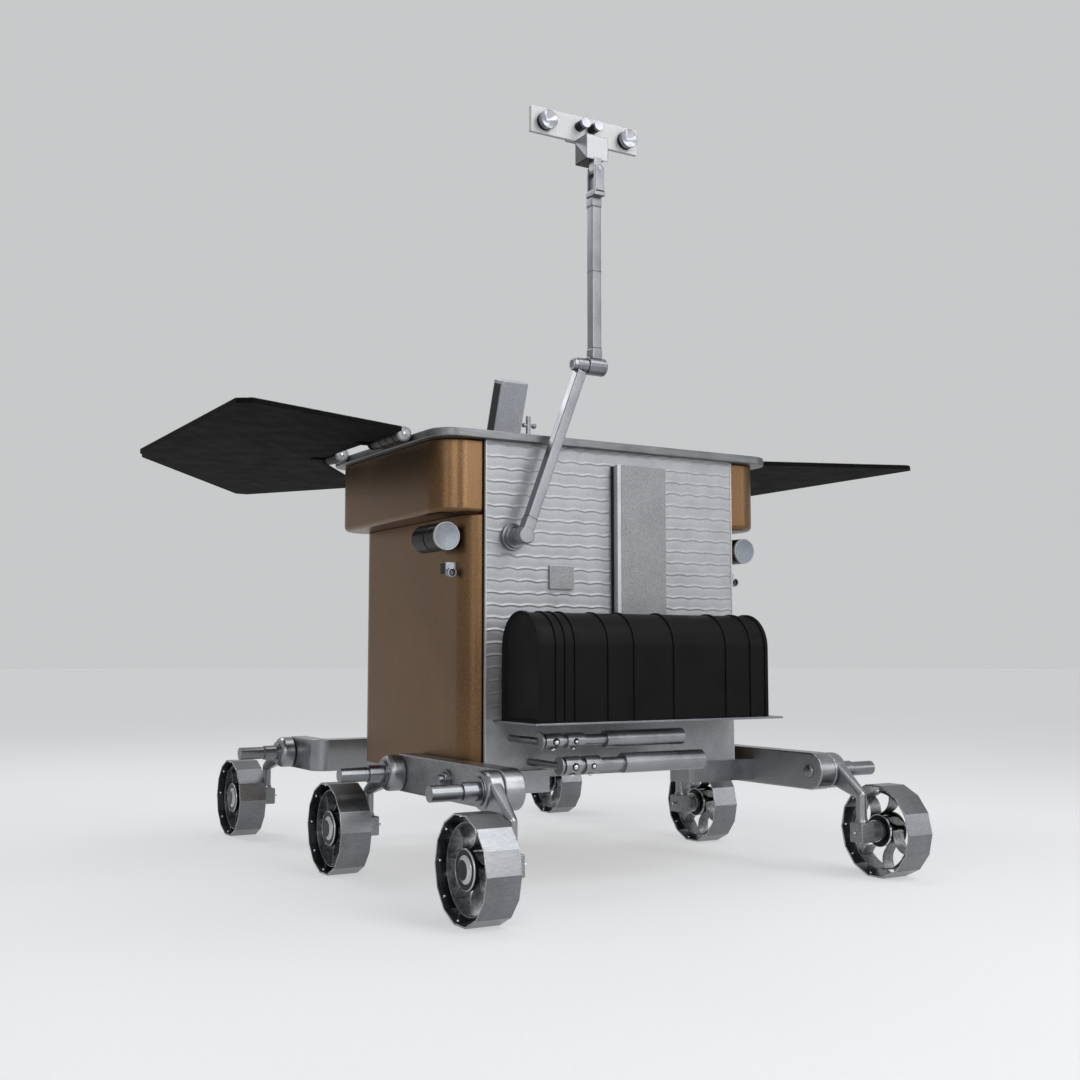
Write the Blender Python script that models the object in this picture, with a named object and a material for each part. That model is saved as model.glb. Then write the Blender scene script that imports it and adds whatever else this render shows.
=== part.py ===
"""A six-wheeled planetary rover: a hull under a deck, two folding solar wings,
a jointed camera mast and three bogies whose legs carry steered metal wheels.

Metres, +Z up. The rover faces -Y and its own left is +X. The origin is on the ground
under the middle of its outline. Y is written from the front axle and moved by ORIGIN_Y.
"""

from math import atan2, cos, hypot, pi, radians, sin

import bmesh
import bpy
from mathutils import Matrix, Vector

for old in list(bpy.data.objects):
    bpy.data.objects.remove(old)

# Clearance between pieces that touch
GAP = 0.0003

# The hull's half width sets every other place across the rover
HULL_HALF = 0.487

# Wheels: (name, axle Y, wheel centre X, leg pivot Y)
WHEEL_RADIUS = 0.135
WHEEL_WIDTH = 0.094
WHEEL_FLATS = 14
RIM_WALL = 0.0045
HOOP_RADIUS = 0.112
HOOP_FLATS = 21
HOOP_WALL = 0.004
HOOP_WIDTH = 0.052
SPOKES = 7
POST_WIDTH = 0.010
SPOKE_WALL = 0.004
HUB_RADIUS = 0.028
HUB_CAP_RADIUS = 0.051
AXLE_RADIUS = 0.010
LEG_INNER = -0.1205
BEAM_WIDTH = 0.058
BEAM_CLEARANCE = 0.0102
REAR_TRACK_STEP = 0.014
FRONT_TRACK = HULL_HALF + BEAM_CLEARANCE + BEAM_WIDTH + GAP - LEG_INNER
REAR_TRACK = FRONT_TRACK - REAR_TRACK_STEP
AXLES = (
    ("front", 0.0, FRONT_TRACK, 0.126),
    ("middle", 0.870, FRONT_TRACK, 0.708),
    ("rear", 1.830, REAR_TRACK, 1.650),
)
WHEEL_Z = WHEEL_RADIUS * cos(pi / WHEEL_FLATS)

# Legs and knuckles, in X from the wheel's centre plane
LEG_OUTER = -0.071
LEG_PIVOT_Z = 0.300
LEG_DRUM_RADIUS = 0.052
LEG_ARM_RADIUS = 0.040
LEG_ARM_RISE = 0.009
POST_X = -0.094
POST_RADIUS = 0.0145
POST_BEND_Z = 0.237
MOTOR_STEPS = ((-0.071, 0.031), (-0.064, 0.031), (-0.064, 0.0245), (-0.016, 0.0245),
               (-0.016, 0.0205), (0.067, 0.0205), (0.070, 0.0175))
KNUCKLE_SIZE = 0.050
KNUCKLE_HEIGHT = 0.056
FLANGE_RADIUS = 0.031
FLANGE_X = -0.036

# Bogie beams
BEAM_RADIUS = 0.054
BEAM_PIVOT_Y = 0.400
BOLT_RADIUS = 0.019
BOLT_HEIGHT = 0.008
BRACKET_INNER_X = 0.245
BRACKET_FRONT_Y = 0.376
BRACKET_BACK_Y = 0.470
BRACKET_LOW_Z = 0.257
BRACKET_LIP_Z = 0.319
REAR_BEAM_Y = (1.420, 1.480)
REAR_BEAM_CORNER = 0.055
REAR_BRACKET_HALF = 0.075
REAR_BRACKET_HEIGHT = 0.050

# Hull
HULL_Y = (0.4113, 1.170)
HULL_CORNER = 0.078
HULL_LOW_Z = 0.2974
COLLAR_HALF = HULL_HALF + 0.0885
COLLAR_CORNER = 0.085
COLLAR_Z = 1.037
DECK_Z = 1.247
DECK_THICK = 0.025
DECK_HALF = HULL_HALF + 0.113
DECK_Y = (0.379, 1.190)
DECK_CORNER = 0.080
PANEL_HALF = HULL_HALF - 0.0475
PANEL_Y = 0.3986
COVER_X = (-0.014, 0.162)
COVER_Z = (0.600, 1.205)
COVER_THICK = 0.030
PLATE_X = (-0.233, -0.152)
PLATE_Z = (0.830, 0.899)
PLATE_THICK = 0.008

# Drill store on its shelf
SHELF_X = (-0.415, 0.435)
SHELF_Y = 0.165
SHELF_Z = 0.461
SHELF_THICK = 0.006
DRILL_X = (-0.406, 0.385)
DRILL_Y = (0.169, 0.368)
DRILL_TOP = 0.762
RIB_HEIGHT = 0.004
RIB_WIDTH = 0.012
DRILL_RIBS = (-0.346, -0.285, -0.090, 0.045, 0.232, 0.322)
DRILL_END_RECESS = 0.008

# Horizontal arms under the shelf: (name, X of the end disc, Y, Z, barrel radius, X offsets of the steps)
ARMS = (
    ("probe_arm_upper", -0.357, 0.245, 0.409, 0.0235, (0.012, 0.137, 0.209, 0.480)),
    ("probe_arm_lower", -0.296, 0.242, 0.341, 0.0280, (0.011, 0.126, 0.206, 0.487)),
)
ARM_DISC_RADIUS = 0.026
ARM_ROD_RADIUS = 0.0105

# Round side units and small nozzles under the collar
UNIT_X, UNIT_Z, UNIT_RADIUS = HULL_HALF + 0.048, 0.974, 0.041
UNIT_Y = (0.450, 0.606)
NOZZLE_X, NOZZLE_Z, NOZZLE_RADIUS = HULL_HALF + 0.022, 0.873, 0.0135
NOZZLE_Y = (0.4665, 0.530)

# Deck box, leaning forward, and the small post beside it
BOX_X = (-0.302, -0.211)
BOX_FOOT_Y = 0.615
BOX_LENGTH = 0.197
BOX_DEPTH = 0.053
BOX_LEAN = radians(18.4)
SENSOR_X, SENSOR_Y, SENSOR_HEIGHT = -0.185, 0.600, 0.097
SENSOR_WIDTH = 0.0115

# Wings: outline of the +X one from its root's front corner, anticlockwise from above
WING_Z = 1.270
WING_THICK = 0.012
ROOT_HINGE_X = DECK_HALF + 0.025
WING_ROOT_X = ROOT_HINGE_X + 0.027
WING_WIDTH = 0.529
WING_OUTER_X = WING_ROOT_X + WING_WIDTH
HINGE_LINE = ((WING_ROOT_X, 1.172), (WING_OUTER_X - 0.021, 1.335))
WING_OUTLINE = (
    (WING_ROOT_X, 0.505),
    (WING_OUTER_X - 0.036, 0.318),
    (WING_OUTER_X, 0.345),
    (WING_OUTER_X, 1.300),
    HINGE_LINE[1],
    HINGE_LINE[0],
)
ROOT_BARREL_RADIUS = 0.020
ROOT_DISC_RADIUS = 0.022
ROOT_DISC_THICK = 0.006
ROOT_KNUCKLE_RADIUS = 0.018
ROOT_KNUCKLE_LENGTH = 0.030
ROOT_BARRELS = (("front", 0.545, 0.770), ("rear", 1.008, 1.135))
TAIL_SLIT = 0.0006
TAIL_KNUCKLE_RADIUS = 0.0045
TAIL_KNUCKLE_LENGTH = 0.022
TAIL_HINGE_Z = WING_Z + WING_THICK + 0.0005 + TAIL_KNUCKLE_RADIUS
TAIL_HINGES = (0.15, 0.50, 0.85)

# Mast, in the plane in front of the hull
MAST_X, MAST_Z = -0.355, 0.974
MAST_Y = 0.330
LINK_WIDTH = 0.031
COLLAR_STEP = 0.0015
LINK_LEAN = radians(21.0)
ELBOW_Z = 1.479
ELBOW_LOWER = (-0.196, -0.1483, 0.021)
ELBOW_UPPER = (-0.148, -0.086, 0.026)
SHOULDER_RADIUS = 0.0243
SHOULDER_Y = (0.318, 0.352)
UPPER_X = -0.119
UPPER_TOP_Z = 1.984
FORK_Y = (0.297, 0.346)
CHEEK_THICK = 0.010
CHEEK_RADIUS = 0.0155
PIN_Z = UPPER_TOP_Z + 0.080
PIN_RADIUS = 0.004
HEAD_HALF = 0.189
HEAD_Z = (PIN_Z + 0.103, PIN_Z + 0.182)
HEAD_Y = (0.375, 0.389)
EYE_OFFSET, EYE_RADIUS, EYE_FRONT_Y = 0.142, 0.0284, 0.347
EYE_Z = HEAD_Z[0] + 0.036
LENS_OFFSET, LENS_RADIUS, LENS_FRONT_Y = 0.0225, 0.0160, 0.333
LENS_Z = HEAD_Z[0] + 0.046
WEDGE_HALF = 0.038
WEDGE_Y = (0.309, 0.372)
WEDGE_LOW_Z = PIN_Z + 0.029

# Looks: (colour, metallic, roughness)
FINISHES = {
    "gold": ("C79A6B", 0.45, 0.42),
    "foil": ("A9ABAD", 0.55, 0.50),
    "silver": ("B9BABC", 0.85, 0.32),
    "dark": ("17181A", 0.10, 0.55),
    "cell": ("0B0B10", 0.20, 0.35),
}


# Shapes. Each returns a bmesh in world coordinates.

def on_axis(axis, along, across):
    """A point from its place along the axis and its two places across it, in X, Y, Z order."""
    point = list(across)
    point.insert("XYZ".index(axis), along)
    return Vector(point)


def prism(axis, outline, span):
    """An outline across the axis, drawn out along it."""
    bm = bmesh.new()
    bottom = [bm.verts.new(on_axis(axis, span[0], point)) for point in outline]
    face = bm.faces.new(bottom)
    drawn = bmesh.ops.extrude_face_region(bm, geom=[face])["geom"]
    moved = [item for item in drawn if isinstance(item, bmesh.types.BMVert)]
    bmesh.ops.translate(bm, verts=moved, vec=on_axis(axis, span[1] - span[0], (0.0, 0.0)))
    bmesh.ops.recalc_face_normals(bm, faces=bm.faces)
    return bm


def block(x, y, z, round_edges=0.0, segments=1):
    bm = prism("Z", ((x[0], y[0]), (x[1], y[0]), (x[1], y[1]), (x[0], y[1])), z)
    if round_edges:
        bmesh.ops.bevel(bm, geom=bm.edges[:], offset=round_edges, affect="EDGES",
                        segments=segments, profile=0.5, material=-1)
    return bm


def turned(axis, centre, steps, segments=24):
    """Steps of (place along the axis, radius), turned about the axis through centre."""
    bm = bmesh.new()
    ends = [(steps[0][0], 0.0), *steps, (steps[-1][0], 0.0)]
    line = [bm.verts.new(on_axis(axis, place, (centre[0] + radius, centre[1]))) for place, radius in ends]
    edges = [bm.edges.new(pair) for pair in zip(line, line[1:])]
    bmesh.ops.spin(bm, geom=edges + line, cent=on_axis(axis, 0.0, centre),
                   axis=on_axis(axis, 1.0, (0.0, 0.0)), dvec=(0.0, 0.0, 0.0),
                   angle=2.0 * pi, steps=segments, use_merge=True)
    bmesh.ops.remove_doubles(bm, verts=bm.verts, dist=1e-6)
    bmesh.ops.recalc_face_normals(bm, faces=bm.faces)
    return bm


def arc(centre, radius, start, end, steps):
    """Points on a circle, from one angle in degrees to another."""
    return [(centre[0] + radius * cos(radians(start + (end - start) * i / steps)),
             centre[1] + radius * sin(radians(start + (end - start) * i / steps)))
            for i in range(steps + 1)]


def rounded(x, y, radius, steps=6):
    """The outline of a rectangle with round corners."""
    points = []
    for cx, cy, start in ((x[1], y[1], 0), (x[0], y[1], 90), (x[0], y[0], 180), (x[1], y[0], 270)):
        inside = (cx - radius if cx == x[1] else cx + radius, cy - radius if cy == y[1] else cy + radius)
        points += arc(inside, radius, start, start + 90, steps)
    return points


def stadium(first, last, radius, steps=10):
    """The outline round two equal circles that lie along the first direction."""
    return arc(last, radius, -90, 90, steps) + arc(first, radius, 90, 270, steps)


def skin(points):
    """The convex body round some points."""
    bm = bmesh.new()
    verts = [bm.verts.new(point) for point in points]
    made = bmesh.ops.convex_hull(bm, input=verts)
    inner = [item for item in made["geom_interior"] if isinstance(item, bmesh.types.BMVert)]
    bmesh.ops.delete(bm, geom=inner, context="VERTS")
    bmesh.ops.recalc_face_normals(bm, faces=bm.faces)
    return bm


def helper(bm):
    mesh = bpy.data.meshes.new("helper")
    bm.to_mesh(mesh)
    bm.free()
    made = bpy.data.objects.new("helper", mesh)
    made.hide_render = True
    made.display_type = "WIRE"
    bpy.context.scene.collection.objects.link(made)
    return made


def fuse(first, *others, cut=()):
    """One body from solids that overlap, less the cutters."""
    body = helper(first)
    parts = []
    for operation, group in (("UNION", others), ("DIFFERENCE", cut)):
        for solid in group:
            part = helper(solid)
            modifier = body.modifiers.new(operation.title(), "BOOLEAN")
            modifier.operation = operation
            modifier.solver = "EXACT"
            modifier.object = part
            parts.append(part)
    bpy.context.view_layer.update()
    bm = bmesh.new()
    bm.from_object(body, bpy.context.evaluated_depsgraph_get())
    for made in (body, *parts):
        mesh = made.data
        bpy.data.objects.remove(made)
        bpy.data.meshes.remove(mesh)
    return bm


def turn(bm, matrix):
    bmesh.ops.transform(bm, matrix=matrix, verts=bm.verts)
    return bm


def other_side(bm, side):
    """The piece on the side asked for, from the one made at +X."""
    if side < 0:
        bmesh.ops.scale(bm, vec=(-1.0, 1.0, 1.0), verts=bm.verts)
        bmesh.ops.reverse_faces(bm, faces=bm.faces)
    return bm


def linear(hex_colour):
    values = [int(hex_colour[i:i + 2], 16) / 255.0 for i in (0, 2, 4)]
    return [v / 12.92 if v <= 0.04045 else ((v + 0.055) / 1.055) ** 2.4 for v in values]


def node(name, bm, look, pivot=(0.0, 0.0, 0.0)):
    """Adds the object, with its origin on its joint's axis where it moves."""
    place = Vector(pivot)
    bmesh.ops.translate(bm, verts=bm.verts, vec=-place)
    mesh = bpy.data.meshes.new(name)
    bm.to_mesh(mesh)
    bm.free()
    mesh.shade_smooth()
    mesh.set_sharp_from_angle(angle=radians(35))
    colour, metallic, roughness = FINISHES[look]
    finish = bpy.data.materials.new(name)
    finish.use_nodes = True
    shader = finish.node_tree.nodes["Principled BSDF"]
    shader.inputs["Base Color"].default_value = (*linear(colour), 1.0)
    shader.inputs["Metallic"].default_value = metallic
    shader.inputs["Roughness"].default_value = roughness
    mesh.materials.append(finish)
    made = bpy.data.objects.new(name, mesh)
    made.location = place
    bpy.context.scene.collection.objects.link(made)
    return made


def mirrored_over_hinge(point):
    """A point of the wing's outline, folded over the slanted hinge line."""
    (x0, y0), (x1, y1) = HINGE_LINE
    length = hypot(x1 - x0, y1 - y0)
    nx, ny = -(y1 - y0) / length, (x1 - x0) / length
    distance = (point[0] - x0) * nx + (point[1] - y0) * ny
    return (point[0] - 2 * distance * nx, point[1] - 2 * distance * ny)


TAIL_OUTLINE = [mirrored_over_hinge(point) for point in WING_OUTLINE]
REAR_MOST = max(y for x, y in TAIL_OUTLINE)
ORIGIN_Y = -(REAR_MOST - WHEEL_RADIUS * cos(pi / WHEEL_FLATS / 2)) / 2

SIDES = (("left", 1), ("right", -1))


def y_at(y):
    """World Y of a place written from the front axle."""
    return y + ORIGIN_Y


def span_y(pair):
    return (y_at(pair[0]), y_at(pair[1]))


def moved(points):
    """Plan points written from the front axle, in the world."""
    return [(x, y_at(y)) for x, y in points]


# Wheels, knuckles and legs

def spoke(wheel_x, centre, angle):
    """A curved leaf from the hub to the hoop."""
    bend = radians(46)
    reach = HOOP_RADIUS - HUB_RADIUS
    bow = reach / (2 * sin(bend / 2))
    outline = []
    for side in (-1, 1):
        stations = [i / 4 for i in range(5)]
        for t in stations if side < 0 else reversed(stations):
            swing = (t - 0.5) * bend
            radius = bow + side * SPOKE_WALL / 2
            along = HUB_RADIUS + reach / 2 + radius * sin(swing)
            across = radius * cos(swing) - bow * cos(bend / 2)
            outline.append((centre[0] + along * cos(angle) - across * sin(angle),
                            centre[1] + along * sin(angle) + across * cos(angle)))
    return prism("X", outline, (wheel_x - HOOP_WIDTH / 2 + 0.004, wheel_x + HOOP_WIDTH / 2 - 0.004))


def polygon(centre, radius, count, start=0.0):
    return [(centre[0] + radius * cos(start + 2 * pi * i / count),
             centre[1] + radius * sin(start + 2 * pi * i / count)) for i in range(count)]


def wheel(axle_y, wheel_x):
    """Rim of flats, inner hoop on posts, curved spokes and a stepped hub with a blind bore."""
    centre = (y_at(axle_y), WHEEL_Z)
    half = WHEEL_WIDTH / 2
    start = -pi / 2 + pi / WHEEL_FLATS
    out = (wheel_x - half, wheel_x + half)
    past = (wheel_x - half - 0.01, wheel_x + half + 0.01)
    rim = prism("X", polygon(centre, WHEEL_RADIUS, WHEEL_FLATS, start), out)
    inside = prism("X", polygon(centre, WHEEL_RADIUS - RIM_WALL, WHEEL_FLATS, start), past)
    rim = fuse(rim, cut=[inside])
    hoop_span = (wheel_x - HOOP_WIDTH / 2, wheel_x + HOOP_WIDTH / 2)
    hoop = fuse(prism("X", polygon(centre, HOOP_RADIUS, HOOP_FLATS, start), hoop_span),
                cut=[prism("X", polygon(centre, HOOP_RADIUS - HOOP_WALL, HOOP_FLATS, start), past)])
    posts = []
    for i in range(SPOKES):
        angle = start + pi / WHEEL_FLATS + 2 * pi * i / SPOKES
        reach = (HOOP_RADIUS - HOOP_WALL * 0.6, WHEEL_RADIUS - RIM_WALL * 0.8)
        half_post = POST_WIDTH / 2
        corners = [(centre[0] + r * cos(angle) - s * sin(angle), centre[1] + r * sin(angle) + s * cos(angle))
                   for r, s in ((reach[0], -half_post), (reach[1], -half_post),
                                (reach[1], half_post), (reach[0], half_post))]
        posts.append(prism("X", corners, (hoop_span[0] + 0.006, hoop_span[1] - 0.006)))
    spokes = [spoke(wheel_x, centre, start + 2 * pi * i / SPOKES) for i in range(SPOKES)]
    hub = turned("X", centre, (
        (wheel_x - 0.030, HUB_RADIUS + 0.002), (wheel_x + 0.026, HUB_RADIUS + 0.002),
        (wheel_x + 0.026, HUB_CAP_RADIUS), (wheel_x + 0.034, HUB_CAP_RADIUS), (wheel_x + 0.034, 0.026),
        (wheel_x + 0.040, 0.026)), 16)
    bore = turned("X", centre, ((wheel_x - 0.050, AXLE_RADIUS + GAP),
                                (wheel_x + 0.010 + GAP, AXLE_RADIUS + GAP)), 12)
    return fuse(hub, *spokes, hoop, *posts, rim, cut=[bore])


def knuckle(axle_y, wheel_x):
    """The steered block under the post, with the barrel, flange and axle that carry the wheel."""
    y, x = y_at(axle_y), wheel_x + POST_X
    half = KNUCKLE_SIZE / 2
    body = block((x - half, x + half), (y - half, y + half),
                 (WHEEL_Z - KNUCKLE_HEIGHT / 2, WHEEL_Z + KNUCKLE_HEIGHT / 2), 0.003)
    axle = turned("X", (y, WHEEL_Z), (
        (x + half - 0.002, 0.019), (wheel_x + FLANGE_X - 0.008, 0.019),
        (wheel_x + FLANGE_X - 0.008, FLANGE_RADIUS), (wheel_x - 0.030 - GAP, FLANGE_RADIUS),
        (wheel_x - 0.030 - GAP, AXLE_RADIUS),
        (wheel_x + 0.010, AXLE_RADIUS)), 12)
    return fuse(body, axle)


def leg(axle_y, wheel_x, pivot_y):
    """Root drum, arm tapering to the bend, vertical post and the stepped drive on the pivot's axis."""
    root = (y_at(pivot_y), LEG_PIVOT_Z)
    x0, x1 = wheel_x + LEG_INNER, wheel_x + LEG_OUTER
    post_x, post_y = wheel_x + POST_X, y_at(axle_y)
    drum = turned("X", root, ((x0, LEG_DRUM_RADIUS - 0.004), (x0 + 0.004, LEG_DRUM_RADIUS),
                              (x1 - 0.006, LEG_DRUM_RADIUS), (x1, LEG_DRUM_RADIUS - 0.006)), 24)
    points = [on_axis("X", x, point) for x in (x0 + 0.008, x1 - 0.008)
              for point in polygon((root[0], root[1] + LEG_ARM_RISE), LEG_ARM_RADIUS, 14)]
    for band in range(-1, 2):
        tilt = band * pi / 4
        points += [Vector((post_x + POST_RADIUS * cos(tilt) * cos(turn_by),
                           post_y + POST_RADIUS * cos(tilt) * sin(turn_by),
                           POST_BEND_Z + POST_RADIUS * sin(tilt)))
                   for turn_by in (2 * pi * i / 10 for i in range(10))]
    arm = skin(points)
    foot_z = WHEEL_Z + KNUCKLE_HEIGHT / 2 + GAP
    post = turned("Z", (post_x, post_y), (
        (foot_z, POST_RADIUS + 0.003), (foot_z + 0.006, POST_RADIUS + 0.003),
        (foot_z + 0.006, POST_RADIUS), (POST_BEND_Z, POST_RADIUS)), 14)
    motor = turned("X", root, [(wheel_x + place, radius) for place, radius in MOTOR_STEPS], 16)
    return fuse(drum, arm, post, motor)


for axle, axle_y, wheel_x, pivot_y in AXLES:
    for side_name, side in SIDES:
        tag = f"{axle}_{side_name}"
        steer_axis = (side * (wheel_x + POST_X), y_at(axle_y), WHEEL_Z)
        spin_axis = (side * wheel_x, y_at(axle_y), WHEEL_Z)
        node(f"wheel_{tag}", other_side(wheel(axle_y, wheel_x), side), "silver", spin_axis)
        node(f"knuckle_{tag}", other_side(knuckle(axle_y, wheel_x), side), "silver", steer_axis)
        node(f"leg_{tag}", other_side(leg(axle_y, wheel_x, pivot_y), side), "silver")


# Bogie beams and what carries them

BEAM_OUTER_X = FRONT_TRACK + LEG_INNER - GAP
BEAM_INNER_X = BEAM_OUTER_X - BEAM_WIDTH
front_pivot, middle_pivot = AXLES[0][3], AXLES[1][3]


def domed_bolt(x, y, outward):
    steps = [(x - outward * 0.002, BOLT_RADIUS)]
    steps += [(x + outward * BOLT_HEIGHT * sin(radians(a)), BOLT_RADIUS * cos(radians(a)))
              for a in (0, 35, 65)]
    return turned("X", (y, LEG_PIVOT_Z), steps, 12)


def side_beam():
    outline = stadium((y_at(front_pivot), LEG_PIVOT_Z), (y_at(middle_pivot), LEG_PIVOT_Z), BEAM_RADIUS)
    beam = prism("X", outline, (BEAM_INNER_X, BEAM_OUTER_X))
    ends = [edge for edge in beam.edges if abs(edge.verts[0].co.x - edge.verts[1].co.x) < 1e-6]
    bmesh.ops.bevel(beam, geom=ends, offset=0.005, affect="EDGES", segments=1, profile=0.5, material=-1)
    cap = turned("X", (y_at(BEAM_PIVOT_Y), LEG_PIVOT_Z + 0.004), (
        (BEAM_OUTER_X - 0.004, 0.028), (BEAM_OUTER_X + 0.008, 0.028), (BEAM_OUTER_X + 0.008, 0.022),
        (BEAM_OUTER_X + 0.017, 0.022), (BEAM_OUTER_X + 0.017, 0.014), (BEAM_OUTER_X + 0.030, 0.014)), 14)
    bolts = [domed_bolt(BEAM_INNER_X, y_at(y), -1) for y in (front_pivot, middle_pivot)]
    return fuse(beam, cap, *bolts)


def front_bracket():
    """An angle under the hull whose front lip stands before the panel's foot."""
    panel_y = y_at(PANEL_Y) - GAP
    front, back = y_at(BRACKET_FRONT_Y), y_at(BRACKET_BACK_Y)
    under = HULL_LOW_Z - GAP
    outline = ((front, BRACKET_LOW_Z), (back, BRACKET_LOW_Z), (back, under),
               (panel_y, under), (panel_y, BRACKET_LIP_Z), (front, BRACKET_LIP_Z))
    return prism("X", outline, (BRACKET_INNER_X, BEAM_INNER_X - GAP))


for side_name, side in SIDES:
    node(f"bogie_beam_{side_name}", other_side(side_beam(), side), "silver")
    node(f"bogie_bracket_{side_name}", other_side(front_bracket(), side), "silver")


def rear_beam():
    """Cross beam behind the hull with an arm turned back to each rear leg."""
    outer = REAR_TRACK + LEG_INNER - GAP
    inner = outer - BEAM_WIDTH
    y0, y1 = span_y(REAR_BEAM_Y)
    end = y_at(AXLES[2][3])
    r = REAR_BEAM_CORNER
    half = [(inner - 0.02, y1), (inner, y1 + 0.02), (inner, end), (outer, end),
            *arc((outer - r, y0 + r), r, 0, -90, 5)]
    outline = half + [(-x, y) for x, y in reversed(half)]
    beam = prism("Z", outline, (LEG_PIVOT_Z - BEAM_RADIUS + 0.001, LEG_PIVOT_Z + BEAM_RADIUS - 0.001))
    ends = [turned("X", (end, LEG_PIVOT_Z), ((x0, BEAM_RADIUS), (x0 + BEAM_WIDTH, BEAM_RADIUS)), 24)
            for x0 in (inner, -outer)]
    bolts = [domed_bolt(side * inner, end, -side) for name, side in SIDES]
    return fuse(beam, *ends, *bolts)


node("rear_beam", rear_beam(), "silver")
rear_bracket_top = HULL_LOW_Z + 0.004 + REAR_BRACKET_HEIGHT
node("rear_bracket", block((-REAR_BRACKET_HALF, REAR_BRACKET_HALF),
                           (y_at(HULL_Y[1]) + GAP, y_at(REAR_BEAM_Y[0]) - GAP),
                           (rear_bracket_top - REAR_BRACKET_HEIGHT, rear_bracket_top), 0.006), "silver")


# Hull, deck and front

def rounded_box(half, y, z, corner, edge):
    bm = prism("Z", rounded((-half, half), span_y(y), corner), z)
    rims = [e for e in bm.edges if abs(e.verts[0].co.z - e.verts[1].co.z) < 1e-6]
    bmesh.ops.bevel(bm, geom=rims, offset=edge, affect="EDGES", segments=1, profile=0.5, material=-1)
    return bm


lower_z, collar_z = (HULL_LOW_Z, COLLAR_Z - GAP), (COLLAR_Z, DECK_Z - GAP)
deck_z = (DECK_Z, DECK_Z + DECK_THICK)
node("hull_lower", rounded_box(HULL_HALF, HULL_Y, lower_z, HULL_CORNER, 0.004), "gold")
node("hull_collar", rounded_box(COLLAR_HALF, HULL_Y, collar_z, COLLAR_CORNER, 0.008), "gold")
node("deck_plate", rounded_box(DECK_HALF, DECK_Y, deck_z, DECK_CORNER, 0.003), "silver")
node("front_panel", block((-PANEL_HALF, PANEL_HALF), (y_at(PANEL_Y), y_at(HULL_Y[0]) - GAP),
                          (HULL_LOW_Z, DECK_Z - GAP)), "foil")
panel_front = y_at(PANEL_Y) - GAP
node("cover_plate", block(COVER_X, (panel_front - COVER_THICK, panel_front), COVER_Z, 0.003), "silver")
node("sample_plate", block(PLATE_X, (panel_front - PLATE_THICK, panel_front), PLATE_Z, 0.002), "silver")


# Drill store, its shelf and the two arms under it

def arch(inset):
    """Flat foot, straight sides and a half-round top, in Y and Z."""
    y0, y1 = y_at(DRILL_Y[0]) + inset, y_at(DRILL_Y[1]) - inset
    radius = (y1 - y0) / 2
    spring = DRILL_TOP - (DRILL_Y[1] - DRILL_Y[0]) / 2
    return [(y0, SHELF_Z + GAP), (y1, SHELF_Z + GAP), *arc(((y0 + y1) / 2, spring), radius, 0, 180, 10)]


def drill_store():
    ends = (DRILL_X[0] + DRILL_END_RECESS, DRILL_X[1] - DRILL_END_RECESS)
    body = prism("X", arch(RIB_HEIGHT), ends)
    places = (DRILL_X[0] + RIB_WIDTH / 2, *DRILL_RIBS, DRILL_X[1] - RIB_WIDTH / 2)
    ribs = [prism("X", arch(0.0), (x - RIB_WIDTH / 2, x + RIB_WIDTH / 2)) for x in places]
    recess = [prism("X", [(y, max(z, SHELF_Z + 0.014)) for y, z in arch(0.012)], span)
              for span in ((DRILL_X[0] - 0.01, ends[0]), (ends[1], DRILL_X[1] + 0.01))]
    return fuse(body, *ribs, cut=recess)


node("drill_store", drill_store(), "dark")
shelf = block(SHELF_X, (y_at(SHELF_Y), panel_front), (SHELF_Z - SHELF_THICK, SHELF_Z))
node("drill_shelf", shelf, "silver")


def probe_arm(x, y, z, radius, steps):
    """End disc, two collars, neck and barrel along X, on a rod from the panel."""
    collar, neck, barrel, end = (x + step for step in steps)
    middle = (collar + neck) / 2
    body = turned("X", (y_at(y), z), (
        (x - 0.003, ARM_DISC_RADIUS), (x + 0.003, ARM_DISC_RADIUS), (x + 0.003, radius * 0.6),
        (collar, radius * 0.6), (collar, radius * 0.86), (middle - 0.004, radius * 0.86),
        (middle - 0.004, radius * 0.7),
        (middle + 0.004, radius * 0.7), (middle + 0.004, radius * 0.86), (neck, radius * 0.86),
        (neck, radius * 0.7), (barrel, radius * 0.7), (barrel, radius), (end - 0.005, radius),
        (end, radius - 0.006)), 14)
    rod = turned("Y", (x, z), ((y_at(y), ARM_ROD_RADIUS), (panel_front, ARM_ROD_RADIUS)), 12)
    return fuse(body, rod)


for name, x, y, z, radius, steps in ARMS:
    node(name, probe_arm(x, y, z, radius, steps), "silver")


# Round units and nozzles on the hull's sides

def side_unit():
    y0, y1 = span_y(UNIT_Y)
    barrel = turned("Y", (UNIT_X, UNIT_Z), (
        (y0 + 0.004, UNIT_RADIUS - 0.007), (y0 + 0.004, UNIT_RADIUS - 0.005), (y0, UNIT_RADIUS - 0.003),
        (y0 + 0.003, UNIT_RADIUS), (y1 - 0.006, UNIT_RADIUS), (y1, UNIT_RADIUS - 0.006)), 28)
    foot = block((HULL_HALF + GAP, UNIT_X), (y0 + 0.045, y1 - 0.020), (UNIT_Z - 0.022, UNIT_Z + 0.022))
    return fuse(barrel, foot)


def nozzle():
    y0, y1 = span_y(NOZZLE_Y)
    tube = turned("Y", (NOZZLE_X, NOZZLE_Z), (
        (y0 + 0.006, NOZZLE_RADIUS - 0.005), (y0, NOZZLE_RADIUS - 0.003), (y0, NOZZLE_RADIUS),
        (y0 + 0.016, NOZZLE_RADIUS), (y0 + 0.030, NOZZLE_RADIUS - 0.005)), 16)
    foot = block((HULL_HALF + GAP, NOZZLE_X + 0.008), (y0 + 0.022, y1),
                 (NOZZLE_Z - 0.004, NOZZLE_Z + 0.024))
    return fuse(tube, foot)


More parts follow.
